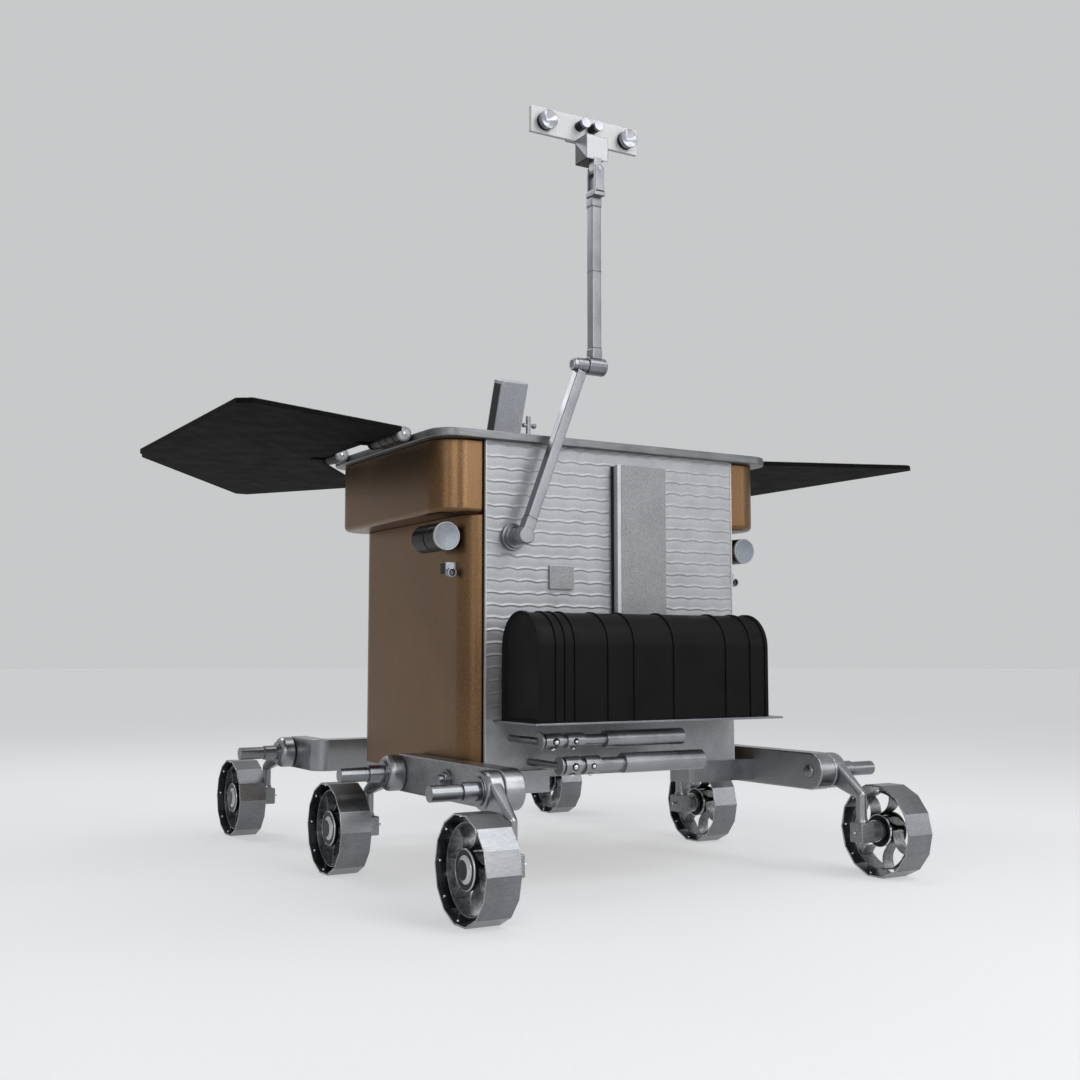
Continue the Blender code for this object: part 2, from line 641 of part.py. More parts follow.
for side_name, side in SIDES:
    node(f"side_unit_{side_name}", other_side(side_unit(), side), "silver")
    node(f"nozzle_{side_name}", other_side(nozzle(), side), "silver")


# On the deck

deck_top = DECK_Z + DECK_THICK + GAP


def deck_box():
    foot_y = y_at(BOX_FOOT_Y)
    lean = (-sin(BOX_LEAN), cos(BOX_LEAN))
    back = (cos(BOX_LEAN), sin(BOX_LEAN))
    top = (foot_y + BOX_LENGTH * lean[0], deck_top + BOX_LENGTH * lean[1])
    top_back = (top[0] + BOX_DEPTH * back[0], top[1] + BOX_DEPTH * back[1])
    foot_back = (top_back[0] - lean[0] / lean[1] * (top_back[1] - deck_top), deck_top)
    return prism("X", ((foot_y, deck_top), foot_back, top_back, top), BOX_X)


def deck_sensor():
    x, y = SENSOR_X, y_at(SENSOR_Y)
    half = SENSOR_WIDTH / 2
    post = block((x - half, x + half), (y - half, y + half), (deck_top, deck_top + SENSOR_HEIGHT))
    rod_z = deck_top + 0.068
    ball = [(x + 0.019 + 0.009 * sin(radians(a)), 0.009 * cos(radians(a))) for a in (-45, -15, 15, 45, 75)]
    rod = turned("X", (y, rod_z), ((x - 0.019, 0.007), (x - 0.013, 0.007), (x - 0.013, 0.005),
                                   (x + 0.012, 0.005), *ball), 12)
    return fuse(post, rod)


node("deck_box", deck_box(), "silver")
node("deck_sensor", deck_sensor(), "silver")


# Wings, tails and their hinges

hinge_start, hinge_end = (Vector((x, y_at(y), TAIL_HINGE_Z)) for x, y in HINGE_LINE)
hinge_run = hinge_end - hinge_start
hinge_turn = Matrix.Rotation(atan2(hinge_run.y, hinge_run.x), 4, "Z")


def tail_knuckle(along, length, toward):
    """A barrel on the slanted hinge with its leaf on one panel; toward is +1 for the tail."""
    centre = hinge_start + hinge_run * along
    barrel = turned("X", (0.0, 0.0), ((0.0, TAIL_KNUCKLE_RADIUS), (length, TAIL_KNUCKLE_RADIUS)), 12)
    top = WING_Z + WING_THICK - TAIL_HINGE_Z
    leaf = block((0.0, length), sorted((0.0, toward * 0.022)), (top - 0.0008, top + 0.0030))
    under = block((-0.01, length + 0.01), sorted((-toward * 0.02, toward * 0.0012)),
                  (top - 0.01, top + 0.0002))
    piece = fuse(barrel, leaf, cut=[under])
    return turn(piece, Matrix.Translation(centre) @ hinge_turn)


def root_hinge(y0, y1):
    """A fixed barrel with a bright front disc, on a tab from the deck's edge."""
    barrel = turned("Y", (ROOT_HINGE_X, WING_Z), (
        (y0, ROOT_DISC_RADIUS), (y0 + ROOT_DISC_THICK, ROOT_DISC_RADIUS),
        (y0 + ROOT_DISC_THICK, ROOT_BARREL_RADIUS),
        (y1 - ROOT_KNUCKLE_LENGTH - GAP, ROOT_BARREL_RADIUS)), 24)
    tab_end = min(y1 - ROOT_KNUCKLE_LENGTH - 0.005, y_at(DECK_Y[1] - DECK_CORNER))
    tab = block((DECK_HALF + GAP, ROOT_HINGE_X - 0.004), (y0 + 0.012, tab_end),
                (WING_Z - 0.018, WING_Z - 0.002))
    return fuse(barrel, tab)


def root_knuckle(y1):
    """The wing's own barrel behind a fixed one, with an arm to the panel's root."""
    y0 = y1 - ROOT_KNUCKLE_LENGTH
    barrel = turned("Y", (ROOT_HINGE_X, WING_Z), ((y0, ROOT_KNUCKLE_RADIUS), (y1, ROOT_KNUCKLE_RADIUS)), 24)
    arm = block((ROOT_HINGE_X, WING_ROOT_X + 0.030), (y0 + 0.002, y1 - 0.002),
                (WING_Z - 0.006, WING_Z + 0.008))
    return [barrel, arm]


def panel(outline):
    return prism("Z", moved(outline), (WING_Z, WING_Z + WING_THICK))


def pushed_back(outline):
    """The tail's outline, a slit away from the hinge line."""
    step = hinge_turn @ Vector((0.0, TAIL_SLIT, 0.0))
    return [(x + step.x, y + step.y) for x, y in outline]


def wing():
    knuckles = [piece for name, y0, y1 in ROOT_BARRELS for piece in root_knuckle(y_at(y1))]
    length = TAIL_KNUCKLE_LENGTH
    hinges = [tail_knuckle(along, length, -1) for along in TAIL_HINGES]
    return fuse(panel(WING_OUTLINE), *knuckles, *hinges)


def tail():
    step = (TAIL_KNUCKLE_LENGTH + GAP) / hinge_run.length
    hinges = [tail_knuckle(along + step, TAIL_KNUCKLE_LENGTH, 1) for along in TAIL_HINGES]
    return fuse(panel(pushed_back(TAIL_OUTLINE)), *hinges)


for side_name, side in SIDES:
    root_axis = (side * ROOT_HINGE_X, y_at(ROOT_BARRELS[0][1]), WING_Z)
    tail_axis = (side * hinge_start.x, hinge_start.y, hinge_start.z)
    node(f"wing_{side_name}", other_side(wing(), side), "cell", root_axis)
    node(f"wing_tail_{side_name}", other_side(tail(), side), "cell", tail_axis)
    for place, y0, y1 in ROOT_BARRELS:
        node(f"wing_hinge_{place}_{side_name}", other_side(root_hinge(y_at(y0), y_at(y1)), side), "dark")


# Mast

mast_y = y_at(MAST_Y)
half_link = LINK_WIDTH / 2


def mast_base():
    front, back = y_at(SHOULDER_Y[1]) + GAP, panel_front
    return turned("Y", (MAST_X, MAST_Z), (
        (front, 0.019), (front + 0.012, 0.019), (front + 0.012, 0.024), (back - 0.022, 0.024),
        (back - 0.022, 0.032), (back - 0.012, 0.032), (back - 0.012, 0.0386), (back, 0.0386)), 28)


def mast_lower():
    """Shoulder hub, collar, leaning square link and the elbow's inner barrel."""
    y0, y1 = span_y(SHOULDER_Y)
    hub = turned("Y", (MAST_X, MAST_Z), ((y0, SHOULDER_RADIUS - 0.003), (y0 + 0.003, SHOULDER_RADIUS),
                                         (y1, SHOULDER_RADIUS)), 28)
    rise = ELBOW_Z - MAST_Z
    length = rise / cos(LINK_LEAN)
    link = block((-half_link, half_link), (-half_link, half_link), (0.0, length - 0.025), 0.003)
    wide = half_link + COLLAR_STEP
    collar = block((-wide, wide), (-wide, wide), (0.016, 0.052), 0.003)
    lean = Matrix.Translation((MAST_X, mast_y, MAST_Z)) @ Matrix.Rotation(LINK_LEAN, 4, "Y")
    x0, x1, radius = ELBOW_LOWER
    barrel = turned("X", (mast_y, ELBOW_Z), (
        (x0, radius - 0.005), (x0 + 0.003, radius - 0.002), (x0 + 0.012, radius - 0.002),
        (x0 + 0.012, radius), (x1, radius)), 24)
    return fuse(hub, turn(link, lean), turn(collar, lean), barrel)


def mast_upper():
    """Elbow barrel, upright square link, and a fork whose pin runs along Y."""
    x0, x1, radius = ELBOW_UPPER
    barrel = turned("X", (mast_y, ELBOW_Z), (
        (x0, radius - 0.002), (x0 + 0.002, radius), (x1 - 0.004, radius), (x1, radius - 0.004)), 28)
    span_x = (UPPER_X - half_link, UPPER_X + half_link)
    link = block(span_x, (mast_y - half_link, mast_y + half_link), (ELBOW_Z, UPPER_TOP_Z + 0.004), 0.003)
    wide = half_link + COLLAR_STEP
    collar = block((UPPER_X - wide, UPPER_X + wide), (mast_y - wide, mast_y + wide),
                   (ELBOW_Z + 0.020, ELBOW_Z + 0.052), 0.003)
    y0, y1 = span_y(FORK_Y)
    base = block((UPPER_X - 0.019, UPPER_X + 0.019), (y0, y1), (UPPER_TOP_Z, UPPER_TOP_Z + 0.018), 0.002)
    outline = [(UPPER_X - CHEEK_RADIUS, UPPER_TOP_Z + 0.010), (UPPER_X + CHEEK_RADIUS, UPPER_TOP_Z + 0.010),
               *arc((UPPER_X, PIN_Z), CHEEK_RADIUS, 0, 180, 8)]
    cheeks = [prism("Y", outline, span) for span in ((y0, y0 + CHEEK_THICK), (y1 - CHEEK_THICK, y1))]
    pin = turned("Y", (UPPER_X, PIN_Z), ((y0 - 0.002, PIN_RADIUS), (y1 + 0.002, PIN_RADIUS)), 12)
    return fuse(barrel, link, collar, base, *cheeks, pin)


def head_round(offset, z, radius, front_y, lip):
    """A short barrel on the bar with a dished front."""
    back = y_at(HEAD_Y[0]) + 0.004
    front = y_at(front_y)
    return turned("Y", (UPPER_X + offset, z), (
        (front + 0.006, radius * 0.3), (front + 0.002, radius - lip), (front, radius - lip + 0.001),
        (front, radius), (back, radius)), 18)


def mast_head():
    """Camera bar with two eyes and two lenses, on a wedge with a tongue between the fork's cheeks."""
    bar = block((UPPER_X - HEAD_HALF, UPPER_X + HEAD_HALF), span_y(HEAD_Y), HEAD_Z, 0.002)
    y0, y1 = span_y(WEDGE_Y)
    top = HEAD_Z[0] + 0.001
    wedge = prism("X", ((y0, WEDGE_LOW_Z), (y1 + 0.010, top), (y0, top)),
                  (UPPER_X - WEDGE_HALF, UPPER_X + WEDGE_HALF))
    box = block((UPPER_X - 0.029, UPPER_X + 0.029), (y0 + 0.004, y_at(HEAD_Y[1]) - 0.001),
                (WEDGE_LOW_Z + 0.004, top - 0.002))
    backer = block((UPPER_X - 0.050, UPPER_X + 0.050), (y_at(HEAD_Y[0]) + 0.002, y_at(HEAD_Y[1]) + 0.026),
                   (HEAD_Z[0] + 0.008, HEAD_Z[1] - 0.012), 0.003)
    tongue_y = (y_at(FORK_Y[0]) + CHEEK_THICK + GAP, y_at(FORK_Y[1]) - CHEEK_THICK - GAP)
    outline = [(UPPER_X + 0.013, WEDGE_LOW_Z + 0.010), (UPPER_X - 0.013, WEDGE_LOW_Z + 0.010),
               *arc((UPPER_X, PIN_Z), 0.013, 180, 360, 8)]
    tongue = prism("Y", outline, tongue_y)
    bore = turned("Y", (UPPER_X, PIN_Z), ((tongue_y[0] - 0.01, PIN_RADIUS + GAP),
                                          (tongue_y[1] + 0.01, PIN_RADIUS + GAP)), 12)
    rounds = []
    for name, side in SIDES:
        rounds.append(head_round(side * EYE_OFFSET, EYE_Z, EYE_RADIUS, EYE_FRONT_Y, 0.004))
        rounds.append(head_round(side * LENS_OFFSET, LENS_Z, LENS_RADIUS, LENS_FRONT_Y, 0.003))
    return fuse(bar, wedge, box, backer, tongue, *rounds, cut=[bore])


node("mast_base", mast_base(), "silver")
node("mast_lower", mast_lower(), "silver", (MAST_X, mast_y, MAST_Z))
node("mast_upper", mast_upper(), "silver", (ELBOW_UPPER[0], mast_y, ELBOW_Z))
node("mast_head", mast_head(), "silver", (UPPER_X, mast_y, PIN_Z))
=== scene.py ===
"""The look of a six-wheeled planetary rover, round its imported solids.

Metres, +Z up. The rover faces -Y and its own left is +X. Pieces of a pair are made at +X and
mirrored. Y is written from the front axle and moved by ORIGIN_Y, as in the part's source.
"""

from functools import partial
from math import atan2, cos, hypot, pi, radians, sin

import bmesh
import bpy
from mathutils import Matrix, Vector, noise

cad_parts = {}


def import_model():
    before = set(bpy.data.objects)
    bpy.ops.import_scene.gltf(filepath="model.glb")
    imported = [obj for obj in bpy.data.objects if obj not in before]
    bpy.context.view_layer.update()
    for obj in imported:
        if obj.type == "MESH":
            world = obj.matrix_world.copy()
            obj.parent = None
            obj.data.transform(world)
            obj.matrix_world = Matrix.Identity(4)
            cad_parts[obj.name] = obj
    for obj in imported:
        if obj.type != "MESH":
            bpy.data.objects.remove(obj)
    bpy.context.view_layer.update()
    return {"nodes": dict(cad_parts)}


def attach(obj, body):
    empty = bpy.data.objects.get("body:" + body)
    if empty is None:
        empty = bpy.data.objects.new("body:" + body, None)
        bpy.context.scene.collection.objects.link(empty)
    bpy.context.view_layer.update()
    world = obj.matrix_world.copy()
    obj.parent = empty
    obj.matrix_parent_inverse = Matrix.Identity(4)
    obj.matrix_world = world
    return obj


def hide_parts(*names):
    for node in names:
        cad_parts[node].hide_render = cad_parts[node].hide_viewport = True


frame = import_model()

GAP = 0.0003
ORIGIN_Y = -1.0096290770848717
SIDES = (("left", 1), ("right", -1))


def y_at(y):
    return y + ORIGIN_Y


def span_y(pair):
    return (y_at(pair[0]), y_at(pair[1]))


def about(middle, half):
    """The two ends of a span, from its middle."""
    return (middle - half, middle + half)


# Wheels and legs: (name, axle Y, wheel centre X, leg pivot Y)
AXLES = (
    ("front", 0.0, 0.676, 0.126),
    ("middle", 0.87, 0.676, 0.708),
    ("rear", 1.83, 0.662, 1.65),
)
WHEEL_RADIUS = 0.135
WHEEL_HALF = 0.047
WHEEL_FLATS = 14
WHEEL_Z = WHEEL_RADIUS * cos(pi / WHEEL_FLATS)
RIM_WALL = 0.0032
LIP_WIDTH = 0.0012
HOOP_RADIUS = 0.112
HOOP_WALL = 0.003
HOOP_HALF = 0.026
SPOKES = 7
STUDS = 9
STUD_CIRCLE, STUD_RADIUS = 0.1265, 0.0038
STUD_X = 0.036
LEAF_HALF, LEAF_THICK = 0.0205, 0.0022
POST_X = -0.094
POST_RADIUS = 0.015
LEG_INNER, LEG_OUTER = -0.1205, -0.071
DRUM_RADIUS, DRUM_EASE = 0.052, 0.017
ARM_LIFT = 0.009
CASE_HALF = 0.028
PIVOT_Z = 0.3
BEND_Z = 0.237

# Frame
BEAM_RADIUS = 0.054
BEAM_X = (0.4972, 0.5552)
BEAM_PIVOT_Y = 0.4
REAR_BEAM_Y = (1.42, 1.48)
REAR_BEAM_X = (0.4832, 0.5412)
BOLT_RADIUS, BOLT_HEIGHT, WASHER = 0.019, 0.008, 0.0012

# Hull
HULL_HALF = 0.487
HULL_Y = (0.4113, 1.17)
HULL_Z = (0.2974, 1.0367)
COLLAR_HALF = 0.5755
COLLAR_Z = (1.037, 1.2467)
DECK_HALF = 0.6
DECK_Y = (0.379, 1.19)
DECK_Z = (1.247, 1.272)
DECK_TOP = DECK_Z[1] + GAP
DECK_BORDER = 0.006
PANEL_HALF = 0.4395
PANEL_Y = 0.3986
PANEL_FRONT = y_at(PANEL_Y) - GAP
SHELF_Z = 0.461

# The quilt. One row upwards from its sewn crest: (height above the crest, how far the film lies back)
ROW_PITCH = 0.0352
ROW_SHAPE = (
    (0.0, 0.0003), (0.0014, 0.0), (0.0058, 0.0024), (0.0078, 0.0026),
    (0.014, 0.0021), (0.023, 0.0018), (0.03, 0.002), (0.033, 0.0025),
)
FLAT_DEPTH = 0.0012
QUILT_WAVE = 0.06
QUILT_COLUMNS = 150

# On the front
COVER_X, COVER_Z = (-0.014, 0.162), (0.6, 1.205)
STORE_X = (-0.406, 0.385)
STORE_Y = (0.169, 0.368)
STORE_TOP = 0.762
STORE_END = 0.012
# (place along X, width)
STORE_RIBS = (
    (-0.346, 0.009), (-0.318, 0.007), (-0.285, 0.01), (-0.18, 0.006),
    (-0.09, 0.012), (0.045, 0.01), (0.232, 0.012), (0.322, 0.01),
)

# On the hull's sides and on the deck
UNIT_X, UNIT_Z = HULL_HALF + 0.048, 0.974
UNIT_Y = (0.45, 0.606)
NOZZLE_X, NOZZLE_Z = HULL_HALF + 0.022, 0.873
NOZZLE_Y = (0.4665, 0.53)
BOX_X = (-0.302, -0.211)
BOX_Y = 0.615
BOX_LEAN = radians(18.4)
BOX_LENGTH, BOX_DEPTH = 0.197, 0.053
SENSOR_X, SENSOR_Y = -0.185, 0.6

# Wings
WING_Z, WING_TOP = 1.27, 1.282
HINGE_X = 0.625
WING_ROOT_X, WING_OUTER_X = 0.652, 1.181
HINGE_LINE = ((WING_ROOT_X, 1.172), (WING_OUTER_X - 0.021, 1.335))
WING_OUTLINE = (
    (WING_ROOT_X, 0.505),
    (WING_OUTER_X - 0.036, 0.318),
    (WING_OUTER_X, 0.345),
    (WING_OUTER_X, 1.3),
    HINGE_LINE[1],
    HINGE_LINE[0],
)
HINGES = (("front", (0.545, 0.77)), ("rear", (1.008, 1.135)))

# Mast
MAST_X, MAST_Z, MAST_Y = -0.355, 0.974, y_at(0.33)
ELBOW_Z = 1.479
LINK_HALF = 0.0155
LINK_LEAN = radians(21.0)
LINK_EDGE = 0.0032
UPPER_X = -0.119
UPPER_TOP_Z = 1.984
FORK_Y = span_y((0.297, 0.346))
CHEEK = 0.01
PIN_Z = 2.064
HEAD_Y, HEAD_Z = span_y((0.375, 0.389)), (2.167, 2.246)


# Materials


def linear(hex_colour):
    """An sRGB hex colour as the linear values that a shader takes."""
    values = [int(hex_colour[i:i + 2], 16) / 255.0 for i in (0, 2, 4)]
    return (*[v / 12.92 if v <= 0.04045 else ((v + 0.055) / 1.055) ** 2.4 for v in values], 1.0)


def fit(tree, node, values=None, links=None):
    """Gives a node's sockets their values and links. A node as a source means its first output."""
    for socket, value in (values or {}).items():
        node.inputs[socket].default_value = value
    for socket, source in (links or {}).items():
        tree.links.new(getattr(source, "outputs", [source])[0], node.inputs[socket])
    return node


def add(tree, kind, values=None, links=None, settings=None):
    """Adds a shader node of a kind, with its sockets' values, its links and its settings."""
    made = tree.nodes.new("ShaderNode" + kind)
    for name, value in (settings or {}).items():
        setattr(made, name, value)
    return fit(tree, made, values, links)


def opened(material):
    """A material's tree, its shader and its Object coordinates."""
    material.use_nodes = True
    tree = material.node_tree
    return tree, tree.nodes["Principled BSDF"], add(tree, "TexCoord").outputs["Object"]


def surface(name, dark, light, metallic, roughness, grain_mm, relief_mm,
            patch_mm=90.0, stretch=(1.0, 1.0, 1.0), spread=0.05, patches=0.4):
    """Fine grain in colour and relief, with wide soft patches in colour and gloss."""
    material = bpy.data.materials.new(name)
    tree, shader, place = opened(material)
    lengthened = add(tree, "Mapping", {"Scale": stretch}, {"Vector": place})
    grain = add(tree, "TexNoise", {"Scale": 1000.0 / grain_mm, "Detail": 3.0, "Roughness": 0.65},
                {"Vector": lengthened})
    patch = add(tree, "TexNoise", {"Scale": 1000.0 / patch_mm, "Detail": 2.0}, {"Vector": place})
    mixed = add(tree, "Mix", {"Factor": patches}, {"A": grain, "B": patch})
    tone = add(tree, "ValToRGB", links={"Fac": mixed})
    for element, position, colour in zip(tone.color_ramp.elements, (0.36, 0.64), (dark, light)):
        element.position = position
        element.color = linear(colour)
    gloss = add(tree, "MapRange", {"From Min": 0.35, "From Max": 0.65, "To Min": roughness - spread,
                                   "To Max": roughness + spread}, {"Value": patch})
    relief = add(tree, "Bump", {"Strength": 1.0, "Distance": relief_mm / 1000.0}, {"Height": grain})
    fit(tree, shader, {"Metallic": metallic}, {"Base Color": tone, "Roughness": gloss, "Normal": relief})
    return material


# Bead-blasted aluminium, its grain drawn coarser than the real one: soft broad highlights, a faint tooth
satin_metal = surface("bead_blasted_aluminium", "808285", "9C9EA1", 1.0, 0.32, 3.0, 0.03)
# Clear-anodised bar stock of the mast and drives: cooler and smoother than the blasted pieces
mast_metal = surface("clear_anodised_aluminium", "73757A", "898B8F", 1.0, 0.34, 3.0, 0.01)
# Sand-cast face, hard-anodised: dry and visibly grainy
cast_face = surface("hard_anodised_casting", "727476", "A2A4A6", 0.85, 0.48, 3.6, 0.2,
                    spread=0.04, patches=0.2)
# Rolled aluminium sheet, smooth: each flat takes its own tone, from dark to a bright band under the lamp
rim_sheet = surface("rolled_aluminium_sheet", "707275", "86888B", 1.0, 0.3, 2.6, 0.008,
                    stretch=(0.15, 1.0, 1.0), spread=0.02)
# Heat-treated spring steel: mottled unevenly from dark to pale
leaf_steel = surface("spring_steel", "5C5E60", "9EA0A2", 0.9, 0.4, 9.0, 0.1, patch_mm=24.0, spread=0.08)
# Black-anodised turned aluminium: near black with a soft edge light. Also the near black of pieces that are
# painted shade: the cover's left strip, the deck box's right side, the head's rear box, the eye tubes and the
# discs round the arms' bolts
black_anodised_and_shade = surface("black_anodised_aluminium_and_painted_shade", "0E0F10", "1C1D1F", 0.5, 0.38, 3.0, 0.04)
# Polished stainless steel of bolts, pins and studs: small sharp glints
bright_steel = surface("polished_stainless_steel", "C4C6C8", "E2E3E4", 1.0, 0.18, 3.0, 0.01, spread=0.03)
# Gold-coated polyimide film over foam: tan satin with a fine sparkle
gold_film = surface("gold_coated_film", "5A442F", "7C6045", 0.9, 0.34, 3.2, 0.08,
                    patch_mm=260.0, spread=0.03, patches=0.25)
# Brushed aluminium plate of the deck: fine lines along the rover's width
brushed_plate = surface("brushed_aluminium_plate", "5E6062", "7A7C7E", 1.0, 0.42, 2.4, 0.03,
                        stretch=(0.04, 1.0, 1.0))
# Blasted sheet of the covers and hinge discs: grainy grey, no clear reflection
blasted_sheet = surface("blasted_aluminium_sheet", "6E7072", "949698", 0.7, 0.46, 3.0, 0.14, patches=0.2)
# Blasted housing of the deck box and nozzles: the same grain, a shade lighter and cooler
blasted_housing = surface("blasted_aluminium_housing", "868990", "ACAFB6", 0.9, 0.46, 3.0, 0.16, patches=0.2)
# Black polyimide blanket of the store: matt with a weak sheen. Also the painted shade between the front panel
# and the hull
black_blanket_and_shade = surface("black_polyimide_blanket_and_painted_shade", "040405", "0C0C0E", 0.0, 0.46, 4.0, 0.12, spread=0.07)
# Carbon-fibre laminate under the cells: black and dull
carbon = surface("carbon_fibre_laminate", "060607", "0F1012", 0.0, 0.85, 3.4, 0.05, stretch=(1.0, 0.3, 1.0))
# Matt resin, polyimide, dyed oxide and coated film reflect far less than glass
for matt, level in ((black_blanket_and_shade, 0.1), (carbon, 0.1), (black_anodised_and_shade, 0.25), (gold_film, 0.3)):
    matt.node_tree.nodes["Principled BSDF"].inputs["Specular IOR Level"].default_value = level
# Painted alloy of the deck's top, thin rims and edge strips: pale and even
pale_paint = surface("pale_painted_alloy", "B4B4B2", "CBCBC9", 0.15, 0.42, 3.0, 0.04)
# Pale anodised trays of the covers, lighter than their grainy faces: the strips and rims that show round the
# faces are painted highlight of the covers' lit edges
pale_casing_edge_highlight = surface("pale_aluminium_edge_highlight", "A6A8AB", "BEC0C3", 0.6, 0.4, 3.0, 0.03)
# White-painted camera bar: the palest face of the rover
white_paint = surface("white_painted_alloy", "C6C7C9", "D4D5D7", 0.0, 0.48, 3.0, 0.05, patches=0.2)
# Silver cones inside the camera eyes: bright on one side and dark on the other
reflector = surface("vacuum_coated_reflector", "AFB1BA", "CDCFD6", 1.0, 0.3, 3.0, 0.01)
# Blue-grey coated window of the round units: a soft cool sheen and a faint bloom
unit_window = surface("coated_unit_window", "6E747D", "8C929B", 0.5, 0.42, 3.0, 0.02, patch_mm=30.0)
# Frosted windows of the small eyes: the palest blue of the head
pale_window = surface("frosted_silica_window", "C2C6D2", "D6DAE4", 0.1, 0.4, 3.0, 0.01, patch_mm=20.0)
# Ground tool steel of the hub rings: pale, with one broad highlight
ground_steel = surface("ground_tool_steel", "A8AAAE", "C8CACE", 1.0, 0.3, 3.0, 0.01, spread=0.03)


def relief_over(material, mapping, kind, values, settings=None):
    """Lays a coarser relief over a material's grain, from a texture that is turned or drawn out."""
    tree, shader, place = opened(material)
    turned = add(tree, "Mapping", mapping, {"Vector": place})
    pattern = add(tree, kind, values, {"Vector": turned}, settings)
    both = add(tree, "Bump", {"Strength": 0.5, "Distance": 0.001}, {
        "Height": pattern.outputs["Fac"], "Normal": shader.inputs["Normal"].links[0].from_socket})
    fit(tree, shader, links={"Normal": both})


# Aluminised blanket: silver film over padding, with creases across each quilted row
silver_blanket = surface("aluminised_blanket", "949699", "AEB0B3", 0.45, 0.48, 3.4, 0.07,
                         patch_mm=60.0, spread=0.06)
relief_over(silver_blanket, {"Scale": (1.0, 1.0, 0.35)}, "TexNoise",
            {"Scale": 1000.0 / 26.0, "Detail": 2.0, "Distortion": 0.6})
# The laminate's underside: black, with faint slanted ribs about 60 mm apart
laminate = carbon.copy()
laminate.name = "carbon_fibre_underside"
relief_over(laminate, {"Rotation": (0.0, 0.0, radians(38.0))}, "TexWave",
            {"Scale": 1000.0 / 30.0 / 20.0 * pi, "Distortion": 0.4}, {"bands_direction": "X"})


def cell_finish():
    """Solar cells under anti-reflection glass: deep blue-black with pale gaps, and little glare.

    Each cell is 80 x 40 mm. The gloss changes gently in bands about 40 mm apart.
    """
    material = bpy.data.materials.new("solar_cell_glass")
    tree, shader, place = opened(material)
    cells = add(tree, "TexBrick", {
        "Color1": linear("0B1026"), "Color2": linear("111A38"), "Mortar": linear("8E9296"), "Scale": 1.0,
        "Mortar Size": 0.0008, "Mortar Smooth": 0.1, "Brick Width": 0.08, "Row Height": 0.04,
    }, {"Vector": place}, {"offset": 0.0, "squash": 1.0})
    bands = add(tree, "TexWave", {"Scale": 1000.0 / 31.4 / 4.0}, {"Vector": place}, {"bands_direction": "Y"})
    gloss = add(tree, "MapRange", {"To Min": 0.26, "To Max": 0.34}, {"Value": bands.outputs["Fac"]})
    fit(tree, shader, {"Coat Weight": 0.1, "Specular IOR Level": 0.25},
        {"Base Color": cells, "Roughness": gloss})
    return material


cell_glass = cell_finish()


# Shapes. Each returns a bmesh in world coordinates.

AXIS = {"X": 0, "Y": 1, "Z": 2}


def on_axis(axis, along, across):
    """A point from its place along the axis and its two places across it."""
    point = list(across)
    point.insert(AXIS[axis], along)
    return Vector(point)


def around(centre, radius, angle):
    return (centre[0] + radius * cos(angle), centre[1] + radius * sin(angle))


def outward(bm):
    """Turns every face outward."""
    bmesh.ops.recalc_face_normals(bm, faces=bm.faces)
    return bm


def verts_in(made):
    return [item for item in made if isinstance(item, bmesh.types.BMVert)]


def thickened(bm, faces, way):
    """Draws faces out along a vector into a closed body."""
    made = bmesh.ops.extrude_face_region(bm, geom=faces)["geom"]
    bmesh.ops.translate(bm, verts=verts_in(made), vec=way)
    return outward(bm)


def drawn(axis, outline, span):
    """An outline across the axis, drawn out along it."""
    bm = bmesh.new()
    face = bm.faces.new([bm.verts.new(on_axis(axis, span[0], point)) for point in outline])
    return thickened(bm, [face], on_axis(axis, span[1] - span[0], (0.0, 0.0)))


def spun(axis, centre, line, steps=72, at=0.0, start=0.0, closed=False):
    """A line of (place along the axis from at, radius), turned right round; a closed one makes a ring."""
    bm = bmesh.new()
    ends = list(line) if closed else [(line[0][0], 0.0), *line, (line[-1][0], 0.0)]
    verts = [bm.verts.new(on_axis(axis, at + place, around(centre, radius, start))) for place, radius in ends]
    pairs = zip(verts, verts[1:] + verts[:1]) if closed else zip(verts, verts[1:])
    edges = [bm.edges.new(pair) for pair in pairs]
    bmesh.ops.spin(bm, geom=verts + edges, cent=on_axis(axis, 0.0, centre), axis=on_axis(axis, 1.0, (0.0, 0.0)),
                   dvec=(0.0, 0.0, 0.0), angle=2.0 * pi, steps=steps, use_merge=True)
    bmesh.ops.remove_doubles(bm, verts=bm.verts, dist=1e-6)
    return outward(bm)


def band(axis, centre, span, radii, steps=72, at=0.0, start=0.0):
    """A ring of plain rectangular section."""
    loop = ((span[0], radii[0]), (span[1], radii[0]), (span[1], radii[1]), (span[0], radii[1]))
    return spun(axis, centre, loop, steps, at, start, closed=True)


def eased(bm, width, segments=2, angle=24.0):
    """Rounds the edges that turn by more than the angle."""
    sharp = [edge for edge in bm.edges if edge.is_manifold and edge.calc_face_angle(0.0) > radians(angle)]
    bmesh.ops.bevel(bm, geom=sharp, offset=width, affect="EDGES", segments=segments, profile=0.5,
                    material=-1, clamp_overlap=True)
    return bm


def block(x, y, z, edge=0.0, segments=2):
    bm = drawn("Z", ((x[0], y[0]), (x[1], y[0]), (x[1], y[1]), (x[0], y[1])), z)
    return eased(bm, edge, segments) if edge else bm


def ball(centre, radius, steps, flat=(1.0, 1.0, 1.0)):
    bm = bmesh.new()
    place = Matrix.Translation(centre) @ Matrix.Diagonal((*flat, 1.0))
    bmesh.ops.create_uvsphere(bm, u_segments=steps, v_segments=steps // 2, radius=radius, matrix=place)
    return bm


